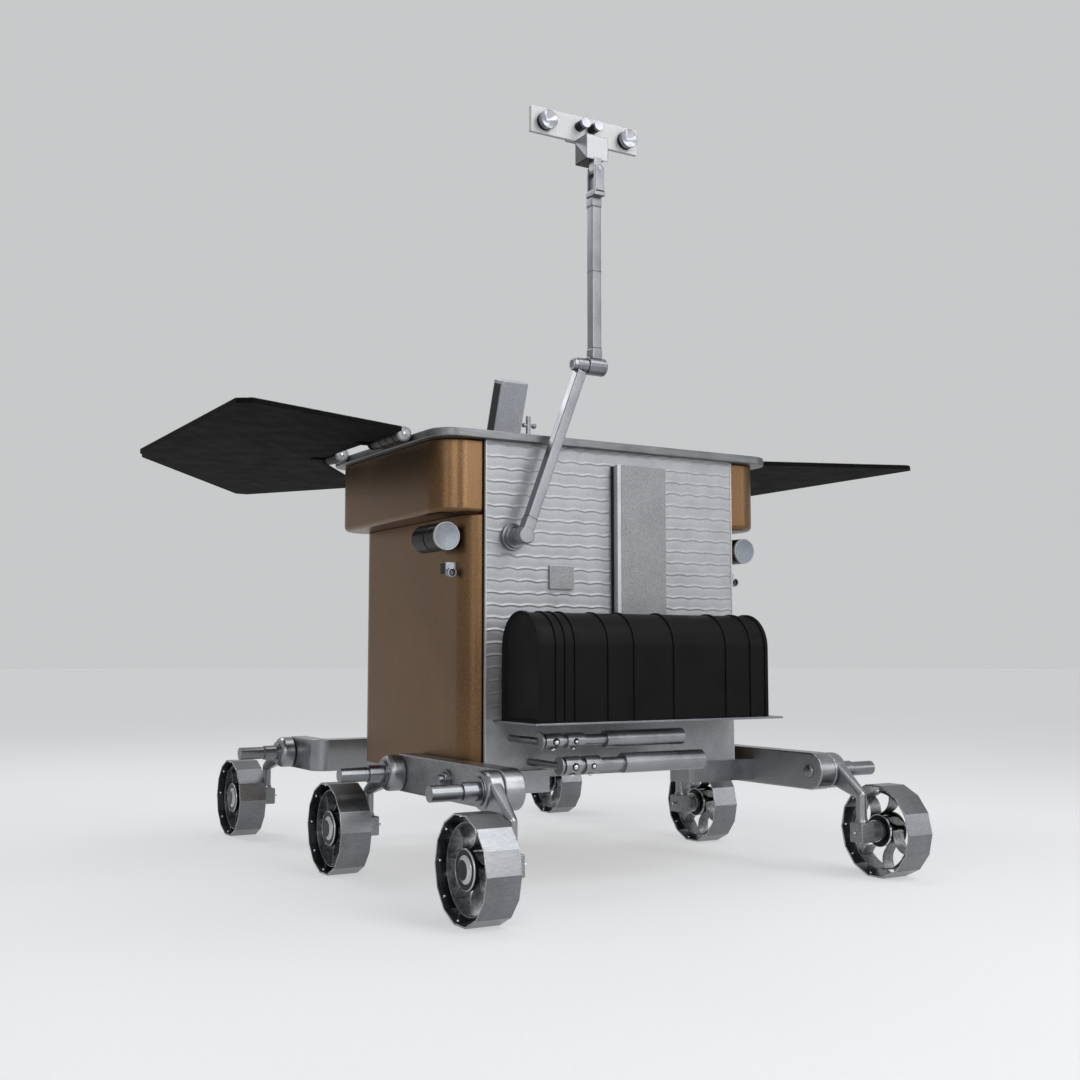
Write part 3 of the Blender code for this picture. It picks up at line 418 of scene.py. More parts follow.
def strip(points, span, thickness):
    """A bent strip of sheet: a line across X, drawn along X and given its thickness."""
    bm = bmesh.new()
    verts = [bm.verts.new((span[0], *point)) for point in points]
    edges = [bm.edges.new(pair) for pair in zip(verts, verts[1:])]
    made = bmesh.ops.extrude_edge_only(bm, edges=edges)["geom"]
    bmesh.ops.translate(bm, verts=verts_in(made), vec=(span[1] - span[0], 0.0, 0.0))
    outward(bm)
    bmesh.ops.solidify(bm, geom=bm.faces[:], thickness=thickness)
    return outward(bm)


def skin(points):
    """The convex body round some points."""
    bm = bmesh.new()
    made = bmesh.ops.convex_hull(bm, input=[bm.verts.new(point) for point in points])
    bmesh.ops.delete(bm, geom=verts_in(made["geom_interior"]), context="VERTS")
    return outward(bm)


def turn(bm, matrix):
    bmesh.ops.transform(bm, matrix=matrix, verts=bm.verts)
    return bm


def arc(centre, radius, start, end, steps):
    """Points on a circle, from one angle in degrees to another."""
    return [around(centre, radius, radians(start + (end - start) * i / steps)) for i in range(steps + 1)]


def rounded(x, y, radius, steps=14):
    """The outline of a rectangle with round corners."""
    points = []
    for cx, cy, start in ((x[1], y[1], 0), (x[0], y[1], 90), (x[0], y[0], 180), (x[1], y[0], 270)):
        inside = (cx - radius if cx == x[1] else cx + radius, cy - radius if cy == y[1] else cy + radius)
        points += arc(inside, radius, start, start + 90, steps)
    return points


def rounded_box(half, y, z, corner, lower, upper, segments=4):
    """A box with round upright corners and its own rounding at the lower and upper rims."""
    bm = drawn("Z", rounded(about(0.0, half), span_y(y), corner), z)
    for level, width in ((z[0], lower), (z[1], upper)):
        rim = [e for e in bm.edges if all(abs(v.co.z - level) < 1e-6 for v in e.verts)]
        bmesh.ops.bevel(bm, geom=rim, offset=width, affect="EDGES", segments=segments, profile=0.5, material=-1)
    return bm


def stadium(first, last, radius, steps=28):
    return arc(last, radius, -90, 90, steps) + arc(first, radius, 90, 270, steps)


def mesh_of(name, bm):
    """The shape as a mesh; the bmesh is used up."""
    mesh = bpy.data.meshes.new(name)
    bm.to_mesh(mesh)
    bm.free()
    return mesh


def together(first, *others):
    """Several bodies as one piece."""
    for other in others:
        mesh = mesh_of("joined", other)
        first.from_mesh(mesh)
        bpy.data.meshes.remove(mesh)
    return first


def placed(name, data):
    """Adds an object to the scene, at the origin, unturned and unscaled."""
    made = bpy.data.objects.new(name, data)
    bpy.context.scene.collection.objects.link(made)
    return made


def piece(name, bm, material, replaces=(), smooth=32.0, *, slot, body="chassis", side=1):
    """Adds a finished piece, mirrored where its side is -1, and ties it to its body."""
    if side < 0:
        bmesh.ops.scale(bm, vec=(-1.0, 1.0, 1.0), verts=bm.verts)
        bmesh.ops.reverse_faces(bm, faces=bm.faces)
    mesh = mesh_of(name, bm)
    mesh.shade_smooth()
    mesh.set_sharp_from_angle(angle=radians(smooth))
    mesh.materials.append(material)
    made = placed(name, mesh)
    shading = made.modifiers.new("Flat faces stay flat", "WEIGHTED_NORMAL")
    shading.keep_sharp = True
    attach(made, body)
    if replaces:
        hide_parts(*replaces)


def coat(node_name, material):
    """Gives a carried-over CAD node its finish."""
    for slot in frame["nodes"][node_name].material_slots:
        slot.material = material


# Wheels


def leaf(wheel_x, centre, angle):
    """A spring leaf: a rolled eye beside the hub, a wide scoop and a foot along the hoop."""
    eye = arc((0.0405, 0.0), 0.0085, -285, 0, 18)
    start, bend, end = Vector(eye[-1]), Vector((0.05, 0.048)), Vector((0.0915, 0.056))
    scoop = [start.lerp(bend, t).lerp(bend.lerp(end, t), t) for t in (i / 12 for i in range(1, 13))]
    foot = [around((0.0, 0.0), end.length, atan2(end.y, end.x) + step) for step in (0.05, 0.11, 0.17)]
    line = [(centre[0] + u * cos(angle) - v * sin(angle), centre[1] + u * sin(angle) + v * cos(angle))
            for u, v in [*eye, *scoop, *foot]]
    return strip(line, about(wheel_x, LEAF_HALF), LEAF_THICK)


def wheel(tag, axle_y, wheel_x, side):
    """Rim of flats, hoop on short posts, spring leaves, stepped hub with two rings, and the studs."""
    body = f"wheel_{tag}"
    put = partial(piece, slot="wheel_metal", body=body, side=side)
    centre = (y_at(axle_y), WHEEL_Z)
    start = -pi / 2 + pi / WHEEL_FLATS
    inside = WHEEL_RADIUS - RIM_WALL
    rim = band("X", centre, about(wheel_x, WHEEL_HALF), (inside, WHEEL_RADIUS), WHEEL_FLATS, start=start)
    put(f"rim_{tag}", eased(rim, 0.0008, 2, 20.0), rim_sheet, (body,))

    hoop = band("X", centre, about(wheel_x, HOOP_HALF), (HOOP_RADIUS - HOOP_WALL, HOOP_RADIUS), 84, start=start)
    posts = []
    for i in range(SPOKES):
        angle = start + pi / WHEEL_FLATS + 2 * pi * i / SPOKES
        post = block(about(wheel_x, 0.02), (-0.005, 0.005), (HOOP_RADIUS - 0.002, 0.1295), 0.001)
        posts.append(turn(post, Matrix.Translation((0.0, *centre)) @ Matrix.Rotation(angle - pi / 2, 4, "X")))
    leaves = [leaf(wheel_x, centre, start + 2 * pi * i / SPOKES) for i in range(SPOKES)]
    put(f"leaves_{tag}", together(eased(hoop, 0.0008), *posts, *leaves), leaf_steel)

    hub = spun("X", centre, (
        (0.0103, 0.0103), (-0.029, 0.0103), (-0.029, 0.046), (-0.0235, 0.046), (-0.0235, 0.03),
        (0.0225, 0.03), (0.0225, 0.051), (0.0315, 0.051), (0.0345, 0.048), (0.0345, 0.037),
        (0.032, 0.035), (0.032, 0.024), (0.0405, 0.023)), at=wheel_x)
    put(f"hub_{tag}", eased(hub, 0.001), black_anodised_and_shade)
    cone = ((0.0315, 0.0352), (0.034, 0.0352), (0.0352, 0.0335), (0.038, 0.0262), (0.04, 0.024),
            (0.0315, 0.024))
    lip = ((0.03, 0.0505), (0.0318, 0.0514), (0.0336, 0.0503), (0.0348, 0.0482), (0.0342, 0.0476),
           (0.03, 0.0476))
    hub_rings = [spun("X", centre, line, at=wheel_x, closed=True) for line in (cone, lip)]
    put(f"hub_rings_{tag}", together(*hub_rings), ground_steel, smooth=60.0)

    lips = [band("X", centre, (x, x + LIP_WIDTH), (inside - 0.0006, WHEEL_RADIUS - 0.0003), WHEEL_FLATS,
                 start=start)
            for x in (wheel_x - WHEEL_HALF, wheel_x + WHEEL_HALF - LIP_WIDTH)]
    inner_ring = eased(band("X", centre, (-0.0298, -0.023), (0.0452, 0.047), at=wheel_x), 0.0006)
    studs = [ball((x, *around(centre, STUD_CIRCLE, start + 2 * pi * i / STUDS)), STUD_RADIUS, 12)
             for i in range(STUDS) for x in about(wheel_x, STUD_X)]
    put(f"wheel_trim_{tag}", together(*lips, inner_ring, *studs), bright_steel)


# Knuckles and legs


def knuckle(tag, axle_y, wheel_x, side):
    """Case under the leg's post, with the wheel's stepped axle barrel."""
    body = f"knuckle_{tag}"
    put = partial(piece, slot="leg_metal", body=body, side=side)
    x, y = wheel_x + POST_X, y_at(axle_y)
    case = block(about(x, 0.025), about(y, 0.025), about(WHEEL_Z, CASE_HALF), 0.003, 3)
    barrel = spun("X", (y, WHEEL_Z), (
        (-0.07, 0.02), (-0.06, 0.02), (-0.06, 0.0185), (-0.044, 0.0185), (-0.044, 0.031),
        (-0.0303, 0.031), (-0.0303, 0.01), (0.01, 0.01)), at=wheel_x)
    put(f"steering_{tag}", together(case, eased(barrel, 0.0012)), cast_face, (body,))
    pin = spun("X", (y - 0.006, WHEEL_Z + 0.001), ((-0.037, 0.003), (-0.036, 0.004), (-0.024, 0.004)), 20, x)
    ring = eased(band("X", (y, WHEEL_Z), (-0.045, -0.042), (0.0295, 0.0316), at=wheel_x), 0.0006)
    put(f"steering_pin_{tag}", together(pin, ring), bright_steel)


def leg(tag, axle_y, wheel_x, pivot_y, side):
    """Drum with a soft rim, arm down to the bend, post with a flared foot, and the stepped drive."""
    put = partial(piece, slot="leg_metal", side=side)
    root = (y_at(pivot_y), PIVOT_Z)
    post = (wheel_x + POST_X, y_at(axle_y))
    x0, x1 = wheel_x + LEG_INNER, wheel_x + LEG_OUTER
    drum = spun("X", root, (
        (x0, DRUM_RADIUS - 0.004), (x0 + 0.004, DRUM_RADIUS), (x1 - DRUM_EASE, DRUM_RADIUS),
        *((x1 - DRUM_EASE + DRUM_EASE * sin(radians(a)), 0.037 + 0.015 * cos(radians(a)))
          for a in range(10, 91, 10))), 96)
    arm_root = (root[0], root[1] + ARM_LIFT)
    points = [on_axis("X", x, around(arm_root, radius, 2 * pi * i / 72))
              for inset, radius in ((0.006, 0.0365), (0.0085, 0.0389), (0.012, 0.04))
              for x in (x0 + inset, x1 - inset) for i in range(72)]
    for tilt in (i * pi / 12 for i in range(-6, 7)):
        points += [(*around(post, POST_RADIUS * cos(tilt), 2 * pi * i / 36), BEND_Z + POST_RADIUS * sin(tilt))
                   for i in range(36)]
    foot = WHEEL_Z + CASE_HALF + GAP
    stem = spun("Z", post, ((foot, 0.018), (foot + 0.004, 0.018), (foot + 0.012, POST_RADIUS),
                            (BEND_Z, POST_RADIUS)), 48)
    shell = together(eased(drum, 0.0015, 2, 40.0), skin(points), stem)
    put(f"leg_shell_{tag}", shell, satin_metal, (f"leg_{tag}",), 40.0)
    motor = spun("X", root, (
        (-0.0725, 0.039), (-0.069, 0.039), (-0.069, 0.0345), (-0.0665, 0.0345), (-0.0665, 0.0365),
        (-0.064, 0.0365), (-0.064, 0.0245), (-0.019, 0.0245), (-0.019, 0.019), (-0.0155, 0.019),
        (-0.0155, 0.0208), (0.068, 0.0208)), 64, wheel_x)
    put(f"leg_drive_{tag}", eased(motor, 0.0013), mast_metal)


for axle, axle_y, wheel_x, pivot_y in AXLES:
    for side_name, side in SIDES:
        tag = f"{axle}_{side_name}"
        wheel(tag, axle_y, wheel_x, side)
        knuckle(tag, axle_y, wheel_x, side)
        leg(tag, axle_y, wheel_x, pivot_y, side)


# Frame


def domed_bolt(x, centre, facing):
    """A domed bolt head on a thin washer, facing along X."""
    line = [(-0.002, BOLT_RADIUS * 1.12), (WASHER, BOLT_RADIUS * 1.12), (WASHER, BOLT_RADIUS)]
    line += [(WASHER + BOLT_HEIGHT * sin(radians(a)), BOLT_RADIUS * cos(radians(a))) for a in range(10, 90, 10)]
    return spun("X", centre, [(facing * place, radius) for place, radius in line], 40, x)


def side_beam(side_name, side):
    """Beam with grainy side faces, its pivot's stepped cap and a bolt at either end."""
    put = partial(piece, slot="frame_metal", side=side)
    inner, outer = BEAM_X
    ends = [(y_at(pivot_y), PIVOT_Z) for *_, pivot_y in AXLES[:2]]
    beam = eased(drawn("X", stadium(*ends, BEAM_RADIUS), BEAM_X), 0.0045, 3, 60.0)
    put(f"beam_{side_name}", beam, satin_metal, (f"bogie_beam_{side_name}",))
    faces = [eased(drawn("X", stadium(*ends, BEAM_RADIUS - 0.005), span), 0.0003, 1, 60.0)
             for span in ((inner - 0.0004, inner + 0.002), (outer - 0.002, outer + 0.0002))]
    put(f"beam_faces_{side_name}", together(*faces), cast_face)
    cap = spun("X", (y_at(BEAM_PIVOT_Y), PIVOT_Z + 0.004), (
        (-0.004, 0.028), (0.008, 0.028), (0.008, 0.022), (0.017, 0.022), (0.017, 0.014), (0.03, 0.014)),
        56, outer)
    bolts = [domed_bolt(inner, end, -1) for end in ends]
    put(f"beam_bolts_{side_name}", together(eased(cap, 0.0014), *bolts), mast_metal)


for side_name, side in SIDES:
    side_beam(side_name, side)


def rear_beam():
    """One beam across the back, with its ends bent forward to the rear legs."""
    put = partial(piece, slot="frame_metal")
    inner, outer = REAR_BEAM_X
    y0, y1 = span_y(REAR_BEAM_Y)
    end = (y_at(AXLES[2][3]), PIVOT_Z)
    half = [*arc((inner - 0.02, y1 + 0.02), 0.02, -90, 0, 8), (inner, end[0]), (outer, end[0]),
            *arc((outer - 0.055, y0 + 0.055), 0.055, 0, -90, 16)]
    outline = half + [(-x, y) for x, y in reversed(half)]
    beam = eased(drawn("Z", outline, about(PIVOT_Z, 0.0535)), 0.004, 3, 60.0)
    ends = [eased(spun("X", end, ((0.0, BEAM_RADIUS), (0.058, BEAM_RADIUS)), at=x), 0.004, 3)
            for x in (inner, -outer)]
    put("rear_cross_beam", together(beam, *ends), satin_metal, ("rear_beam",))
    put("rear_beam_bolts", together(domed_bolt(inner, end, -1), domed_bolt(-inner, end, 1)), mast_metal)


rear_beam()


# Hull and deck


hull = rounded_box(HULL_HALF, HULL_Y, HULL_Z, 0.078, 0.008, 0.002)
collar = rounded_box(COLLAR_HALF, HULL_Y, COLLAR_Z, 0.085, 0.016, 0.004)
deck = rounded_box(DECK_HALF, DECK_Y, DECK_Z, 0.08, 0.004, 0.004, 3)
piece("hull_skin", hull, gold_film, ("hull_lower",), slot="hull_gold")
piece("collar_skin", collar, gold_film, ("hull_collar",), slot="hull_gold")
piece("deck", deck, brushed_plate, ("deck_plate",), slot="deck_metal")
# A thin pale sheet over the whole deck, which leaves the plate's edge bare
top_sheet = rounded(about(0.0, DECK_HALF - DECK_BORDER),
                    (y_at(DECK_Y[0]) + DECK_BORDER, y_at(DECK_Y[1]) - DECK_BORDER), 0.074)
piece("deck_edge_line", drawn("Z", top_sheet, (DECK_Z[1] - 0.004, DECK_Z[1] + 0.0005)), pale_paint,
      slot="deck_metal")


def crest_wave(x, row):
    """How far a crest wanders up and down along the row."""
    swell = 0.6 + 0.5 * noise.noise((x * 7.0, row * 0.7, 3.0))
    bow = abs(sin(pi * (x + 0.003 * row) / QUILT_WAVE))
    return 0.0068 * swell * bow + 0.0012 * noise.noise((x * 18.0, row * 1.3, 0.0))


def front_blanket():
    """Quilted rows above the shelf, flatter below it. The relief goes into the panel only."""
    z0, z1 = HULL_Z[0], COLLAR_Z[1]
    # The film's levels, upwards: (Z, how far it lies back, row and share of it or None)
    stations = [(z0 + (SHELF_Z - z0) * i / 8, FLAT_DEPTH, None) for i in range(8)]
    row, crest = 0, SHELF_Z
    while crest < z1:
        stations += [(crest + rise, hollow, row + rise / ROW_PITCH) for rise, hollow in ROW_SHAPE
                     if crest + rise < z1 - 0.004]
        row += 1
        crest = SHELF_Z + row * ROW_PITCH
    stations.append((z1, FLAT_DEPTH, None))
    bm = bmesh.new()
    bmesh.ops.create_grid(bm, x_segments=QUILT_COLUMNS, y_segments=len(stations) - 1, size=0.5)
    for vert in bm.verts:
        z, hollow, place = stations[round((vert.co.y + 0.5) * (len(stations) - 1))]
        x = vert.co.x * 2 * PANEL_HALF
        if place is None:
            hollow += 0.0006 * noise.noise((x * 14.0, 0.0, z * 14.0)) if z0 < z < z1 else 0.0
        else:
            below, share = int(place), place - int(place)
            z += crest_wave(x, below) * (1.0 - share) + crest_wave(x, below + 1) * share
            hollow += 0.0003 * noise.noise((x * 22.0, 5.0, z * 22.0))
        vert.co = (x, y_at(PANEL_Y) + max(0.0, hollow), min(z, z1))
    rim = [edge for edge in bm.edges if edge.is_boundary]
    for vert in verts_in(bmesh.ops.extrude_edge_only(bm, edges=rim)["geom"]):
        vert.co.y = y_at(HULL_Y[0]) - GAP
    bmesh.ops.edgeloop_fill(bm, edges=[edge for edge in bm.edges if edge.is_boundary])
    return outward(bm)


piece("front_quilt", front_blanket(), silver_blanket, ("front_panel",), 60.0, slot="front_blanket")


def panel_edge(side_name, side):
    """Pale strip down the panel's side, with a black block behind it that paints the shade between panel and
    hull.
    """
    x = (PANEL_HALF - 0.003, PANEL_HALF + 0.0014)
    z = (HULL_Z[0] + 0.001, COLLAR_Z[1] - 0.001)
    front, back = y_at(PANEL_Y), y_at(HULL_Y[0]) + 0.0004
    strip_down = block(x, (front - 0.0002, back), z, 0.0008)
    piece(f"panel_edge_{side_name}", strip_down, pale_paint, slot="deck_metal", side=side)
    # Black block between panel and hull: painted shade
    painted_shade_block = block((x[1], x[1] + 0.0034), (front + 0.008, back), z)
    piece(f"panel_painted_shade_{side_name}", painted_shade_block, black_blanket_and_shade, slot="store_black", side=side)


for side_name, side in SIDES:
    panel_edge(side_name, side)


def covers():
    """The long cover: tray, grainy face and a black strip down its left edge, which is painted shadow. The
    small cover: plate and face.
    """
    put = partial(piece, slot="deck_metal")
    (x0, x1), (z0, z1), back = COVER_X, COVER_Z, PANEL_FRONT
    # The tray's pale strip beside the face is a painted highlight of the cover's lit edge
    plate = block(COVER_X, (back - 0.03, back - 0.012), COVER_Z, 0.003, 3)
    base = block((x0, x1 - 0.004), (back - 0.014, back), (z0 + 0.003, z1 - 0.003), 0.002)
    put("cover_tray", together(plate, base), pale_casing_edge_highlight, ("cover_plate",))
    face = block((x0 + 0.013, x1 - 0.0015), (back - 0.0315, back - 0.02), (z0 + 0.0015, z1 - 0.0015), 0.001)
    put("cover_face", face, blasted_sheet)
    # Black strip down the cover's left edge: painted shadow of the cover on the panel
    painted_shadow_strip = block((x0 - 0.0035, x0 + 0.004), (back - 0.01, back), (z0 + 0.002, z1 - 0.004), 0.001)
    put("cover_painted_shadow", painted_shadow_strip, black_anodised_and_shade)
    small = drawn("Y", rounded((-0.233, -0.152), (0.83, 0.899), 0.004, 5), (back - 0.008, back))
    put("small_cover", eased(small, 0.0016, 2, 60.0), pale_casing_edge_highlight, ("sample_plate",))
    small = drawn("Y", rounded((-0.2318, -0.1532), (0.8312, 0.8978), 0.004, 5), (back - 0.0084, back - 0.004))
    put("small_cover_face", eased(small, 0.0006, 1, 60.0), blasted_sheet)


covers()


# Drill store, shelf and the two arms under it


def arch(inset):
    """Flat foot, straight sides and a half-round top, in Y and Z."""
    y0, y1 = y_at(STORE_Y[0]) + inset, y_at(STORE_Y[1]) - inset
    foot, spring = SHELF_Z + GAP, STORE_TOP - (STORE_Y[1] - STORE_Y[0]) / 2
    return [(y0, foot), (y1, foot), *arc(((y0 + y1) / 2, spring), (y1 - y0) / 2, 0, 180, 36)]


def store():
    """Blanketed body, ribs that stand out from it and a dished wall at either end, on its shelf."""
    body = drawn("X", arch(0.004), (STORE_X[0] + 0.009, STORE_X[1] - 0.009))
    ribs = [eased(drawn("X", arch(0.0), about(x, width / 2)), 0.0026, 3, 60.0) for x, width in STORE_RIBS]
    ends = []
    for x0, depth in ((STORE_X[0], STORE_END), (STORE_X[1], -STORE_END)):
        end = drawn("X", arch(0.0), (x0, x0 + depth))
        wall = min((face for face in end.faces if len(face.verts) > 6),
                   key=lambda face: abs(face.calc_center_median().x - x0))
        bmesh.ops.inset_region(end, faces=[wall], thickness=0.01, use_even_offset=True)
        bmesh.ops.translate(end, verts=wall.verts, vec=(depth * 0.66, 0.0, 0.0))
        ends.append(eased(outward(end), 0.0022, 3, 60.0))
    piece("store", together(body, *ribs, *ends), black_blanket_and_shade, ("drill_store",), slot="store_black")
    shelf = block((-0.415, 0.435), (y_at(0.165), PANEL_FRONT), (SHELF_Z - 0.006, SHELF_Z), 0.0012)
    piece("shelf", shelf, mast_metal, ("drill_shelf",), slot="deck_metal")


store()


def probe_arm(name, x, y, z, radius, steps):
    """End disc, two collars with a bolt in each, each bolt on a black disc that paints the shade of its recess,
    neck and barrel, on a rod from the panel.
    """
    put = partial(piece, slot="leg_metal")
    y = y_at(y)
    collar, neck, barrel, end = (x + step for step in steps)
    middle = (collar + neck) / 2
    line = [(place, radius * share) for place, share in (
        (x + 0.002, 0.6), (collar, 0.6), (collar, 0.86), (middle - 0.007, 0.88), (middle - 0.007, 0.6),
        (middle + 0.007, 0.6), (middle + 0.007, 0.88), (neck, 0.88), (neck, 0.64), (barrel, 0.64))]
    line += [(barrel, radius), (end - 0.005, radius), (end, radius - 0.006)]
    rod = spun("Y", (x, z), ((y, 0.0105), (PANEL_FRONT, 0.0105)), 32)
    put(f"{name}_body", together(eased(spun("X", (y, z), line, 56), 0.0012), rod), satin_metal, (name,))
    disc = spun("X", (y, z), ((-0.003, 0.024), (-0.002, 0.026), (0.003, 0.026)), 56, x)
    put(f"{name}_disc", eased(disc, 0.0008), cast_face)
    bolts, recess_shades = [], []
    for place, size in (((collar + middle) / 2 - 0.001, 1.0), ((middle + neck) / 2, 0.8)):
        for angle in (radians(186), radians(262)):
            facing = (0.0, cos(angle), sin(angle))
            tilt = Vector((0.0, 0.0, 1.0)).rotation_difference(Vector(facing)).to_matrix().to_4x4()
            spot = Matrix.Translation((place, *around((y, z), radius * 0.86, angle))) @ tilt
            # Black disc round each bolt: painted shade of the recess the bolt sits in
            recess_shade = spun("Z", (0.0, 0.0), ((-0.003, 0.0105 * size), (0.0012, 0.0105 * size)), 28)
            dome = [(0.0075 * sin(radians(b)), 0.0078 * size * cos(radians(b))) for b in range(0, 90, 12)]
            recess_shades.append(turn(recess_shade, spot))
            bolts.append(turn(spun("Z", (0.0, 0.0), dome, 28), spot))
    put(f"{name}_bolts", together(*bolts), bright_steel)
    put(f"{name}_pockets", together(*recess_shades), black_anodised_and_shade)


probe_arm("probe_arm_upper", -0.357, 0.245, 0.409, 0.0235, (0.012, 0.137, 0.209, 0.48))
probe_arm("probe_arm_lower", -0.296, 0.242, 0.341, 0.028, (0.011, 0.126, 0.206, 0.487))


# Round units and nozzles on the hull's sides


def side_unit(side_name, side):
    """Black barrel on its foot, with a shallow coated window in a pale rim."""
    put = partial(piece, slot="leg_metal", side=side)
    centre, (y0, y1) = (UNIT_X, UNIT_Z), span_y(UNIT_Y)
    length = y1 - y0
    barrel = spun("Y", centre, (
        (0.006, 0.04), (0.07, 0.04), (0.07, 0.0375), (0.076, 0.0375), (0.076, 0.04),
        (length - 0.006, 0.04), (length, 0.034)), at=y0)
    foot = block((HULL_HALF + GAP, UNIT_X), (y0 + 0.045, y1 - 0.02), about(UNIT_Z, 0.022), 0.003)
    put(f"unit_barrel_{side_name}", together(eased(barrel, 0.001), foot), black_anodised_and_shade,
        (f"side_unit_{side_name}",))
    dish = spun("Y", centre, (
        (0.004, 0.004), (0.0034, 0.014), (0.0022, 0.026), (0.001, 0.0366), (0.008, 0.0366)), at=y0)
    put(f"unit_dish_{side_name}", dish, unit_window, smooth=50.0)
    rim = eased(band("Y", centre, (0.0, 0.01), (0.037, 0.0402), at=y0), 0.0014, 3)
    put(f"unit_rim_{side_name}", rim, pale_paint, smooth=50.0)


def nozzle(side_name, side):
    """Flared tube with two rings inside, on a foot and a dark clamp."""
    put = partial(piece, slot="leg_metal", side=side)
    centre, (y0, y1), root = (NOZZLE_X, NOZZLE_Z), span_y(NOZZLE_Y), HULL_HALF + GAP
    tube = spun("Y", centre, (
        (0.008, 0.0085), (0.001, 0.01), (0.0, 0.0112), (0.001, 0.0135), (0.008, 0.0135), (0.008, 0.0122),
        (0.011, 0.0122), (0.011, 0.0135), (0.016, 0.0135), (0.03, 0.0085)), 40, y0)
    foot = block((root, NOZZLE_X + 0.01), (y0 + 0.022, y0 + 0.027), (NOZZLE_Z - 0.004, NOZZLE_Z + 0.03), 0.0008)
    put(f"nozzle_tube_{side_name}", together(tube, foot), blasted_housing, (f"nozzle_{side_name}",))
    clamp = block((root, NOZZLE_X + 0.008), (y0 + 0.0265, y1), (NOZZLE_Z - 0.002, NOZZLE_Z + 0.028), 0.002)
    rings = [band("Y", centre, (0.0004, 0.003), radii, 40, y0) for radii in ((0.0044, 0.0058), (0.008, 0.0094))]
    put(f"nozzle_clamp_{side_name}", together(clamp, *rings), black_anodised_and_shade)


for side_name, side in SIDES:
    side_unit(side_name, side)
    nozzle(side_name, side)


# On the deck


def deck_box():
    """A leaning flat box, with a black sheet on its right side that paints the shade that side lies in."""
    along = Vector((-sin(BOX_LEAN), cos(BOX_LEAN)))
    back = Vector((cos(BOX_LEAN), sin(BOX_LEAN)))
    foot = Vector((y_at(BOX_Y), DECK_TOP))
    top = foot + BOX_LENGTH * along
    top_back = top + BOX_DEPTH * back
    foot_back = top_back - along * ((top_back.y - DECK_TOP) / along.y)
    case = eased(drawn("X", (foot, foot_back, top_back, top), BOX_X), 0.0035, 3, 40.0)
    piece("deck_case", case, blasted_housing, ("deck_box",), slot="deck_metal")
    # Black sheet on the box's right side: painted shade
    outline = [foot + along * a + back * b
               for a, b in ((0.03, 0.006), (0.02, 0.047), (0.185, 0.047), (0.185, 0.006))]
    shade_sheet = drawn("X", outline, (BOX_X[0] - 0.0004, BOX_X[0] + 0.0025))
    piece("deck_case_painted_shade", eased(shade_sheet, 0.0004, 1, 60.0), black_anodised_and_shade, slot="deck_metal")


def deck_sensor():
    """A small post with a cross rod that ends in a ball."""
    y = y_at(SENSOR_Y)
    post = block(about(SENSOR_X, 0.00575), about(y, 0.00575), (DECK_TOP, DECK_TOP + 0.097), 0.0012)
    rod = spun("X", (y, DECK_TOP + 0.068), (
        (-0.019, 0.0062), (-0.018, 0.007), (-0.013, 0.007), (-0.013, 0.005), (0.0126, 0.005),
        *((0.019 + 0.009 * sin(radians(a)), 0.009 * cos(radians(a))) for a in range(-45, 90, 9))), 32, SENSOR_X)
    piece("deck_probe", together(post, rod), mast_metal, ("deck_sensor",), slot="leg_metal")


deck_box()
deck_sensor()


# Wings


def folded_over(point):
    """A point of the wing's outline, folded over the slanted hinge line."""
    (x0, y0), (x1, y1) = HINGE_LINE
    length = hypot(x1 - x0, y1 - y0)
    nx, ny = -(y1 - y0) / length, (x1 - x0) / length
    distance = (point[0] - x0) * nx + (point[1] - y0) * ny
    return (point[0] - 2 * distance * nx, point[1] - 2 * distance * ny)


def sheet_on(outline, margin, level, depth, keep_border=False):
    """A thin sheet on a panel: its middle, or the border that is left round it.

    Known fault: the inset doesn't move a lone face's corners. The middle fills the whole outline, and
    the border is a strip of upright walls without width.
    """
    bm = bmesh.new()
    face = bm.faces.new([bm.verts.new((x, y_at(y), level)) for x, y in outline])
    if face.normal.z < 0:
        bmesh.ops.reverse_faces(bm, faces=[face])
    border = bmesh.ops.inset_region(bm, faces=[face], thickness=margin, use_even_offset=True,
                                    use_boundary=True)["faces"]
    bmesh.ops.delete(bm, geom=[face] if keep_border else border, context="FACES")
    return thickened(bm, bm.faces[:], (0.0, 0.0, depth))


def panel(name, outline, side):
    """Cells and a pale border on the CAD's panel, and the ribbed laminate under it."""
    put = partial(piece, slot="solar_cell", body=name, side=side)
    put(f"{name}_cells", sheet_on(outline, 0.012, WING_TOP - 0.0004, 0.001), cell_glass)
    put(f"{name}_edge", sheet_on(outline, 0.004, WING_TOP - 0.0004, 0.0012, True), pale_paint)
    put(f"{name}_under", sheet_on(outline, 0.03, WING_Z - 0.001, 0.0014), laminate)
    coat(name, carbon)


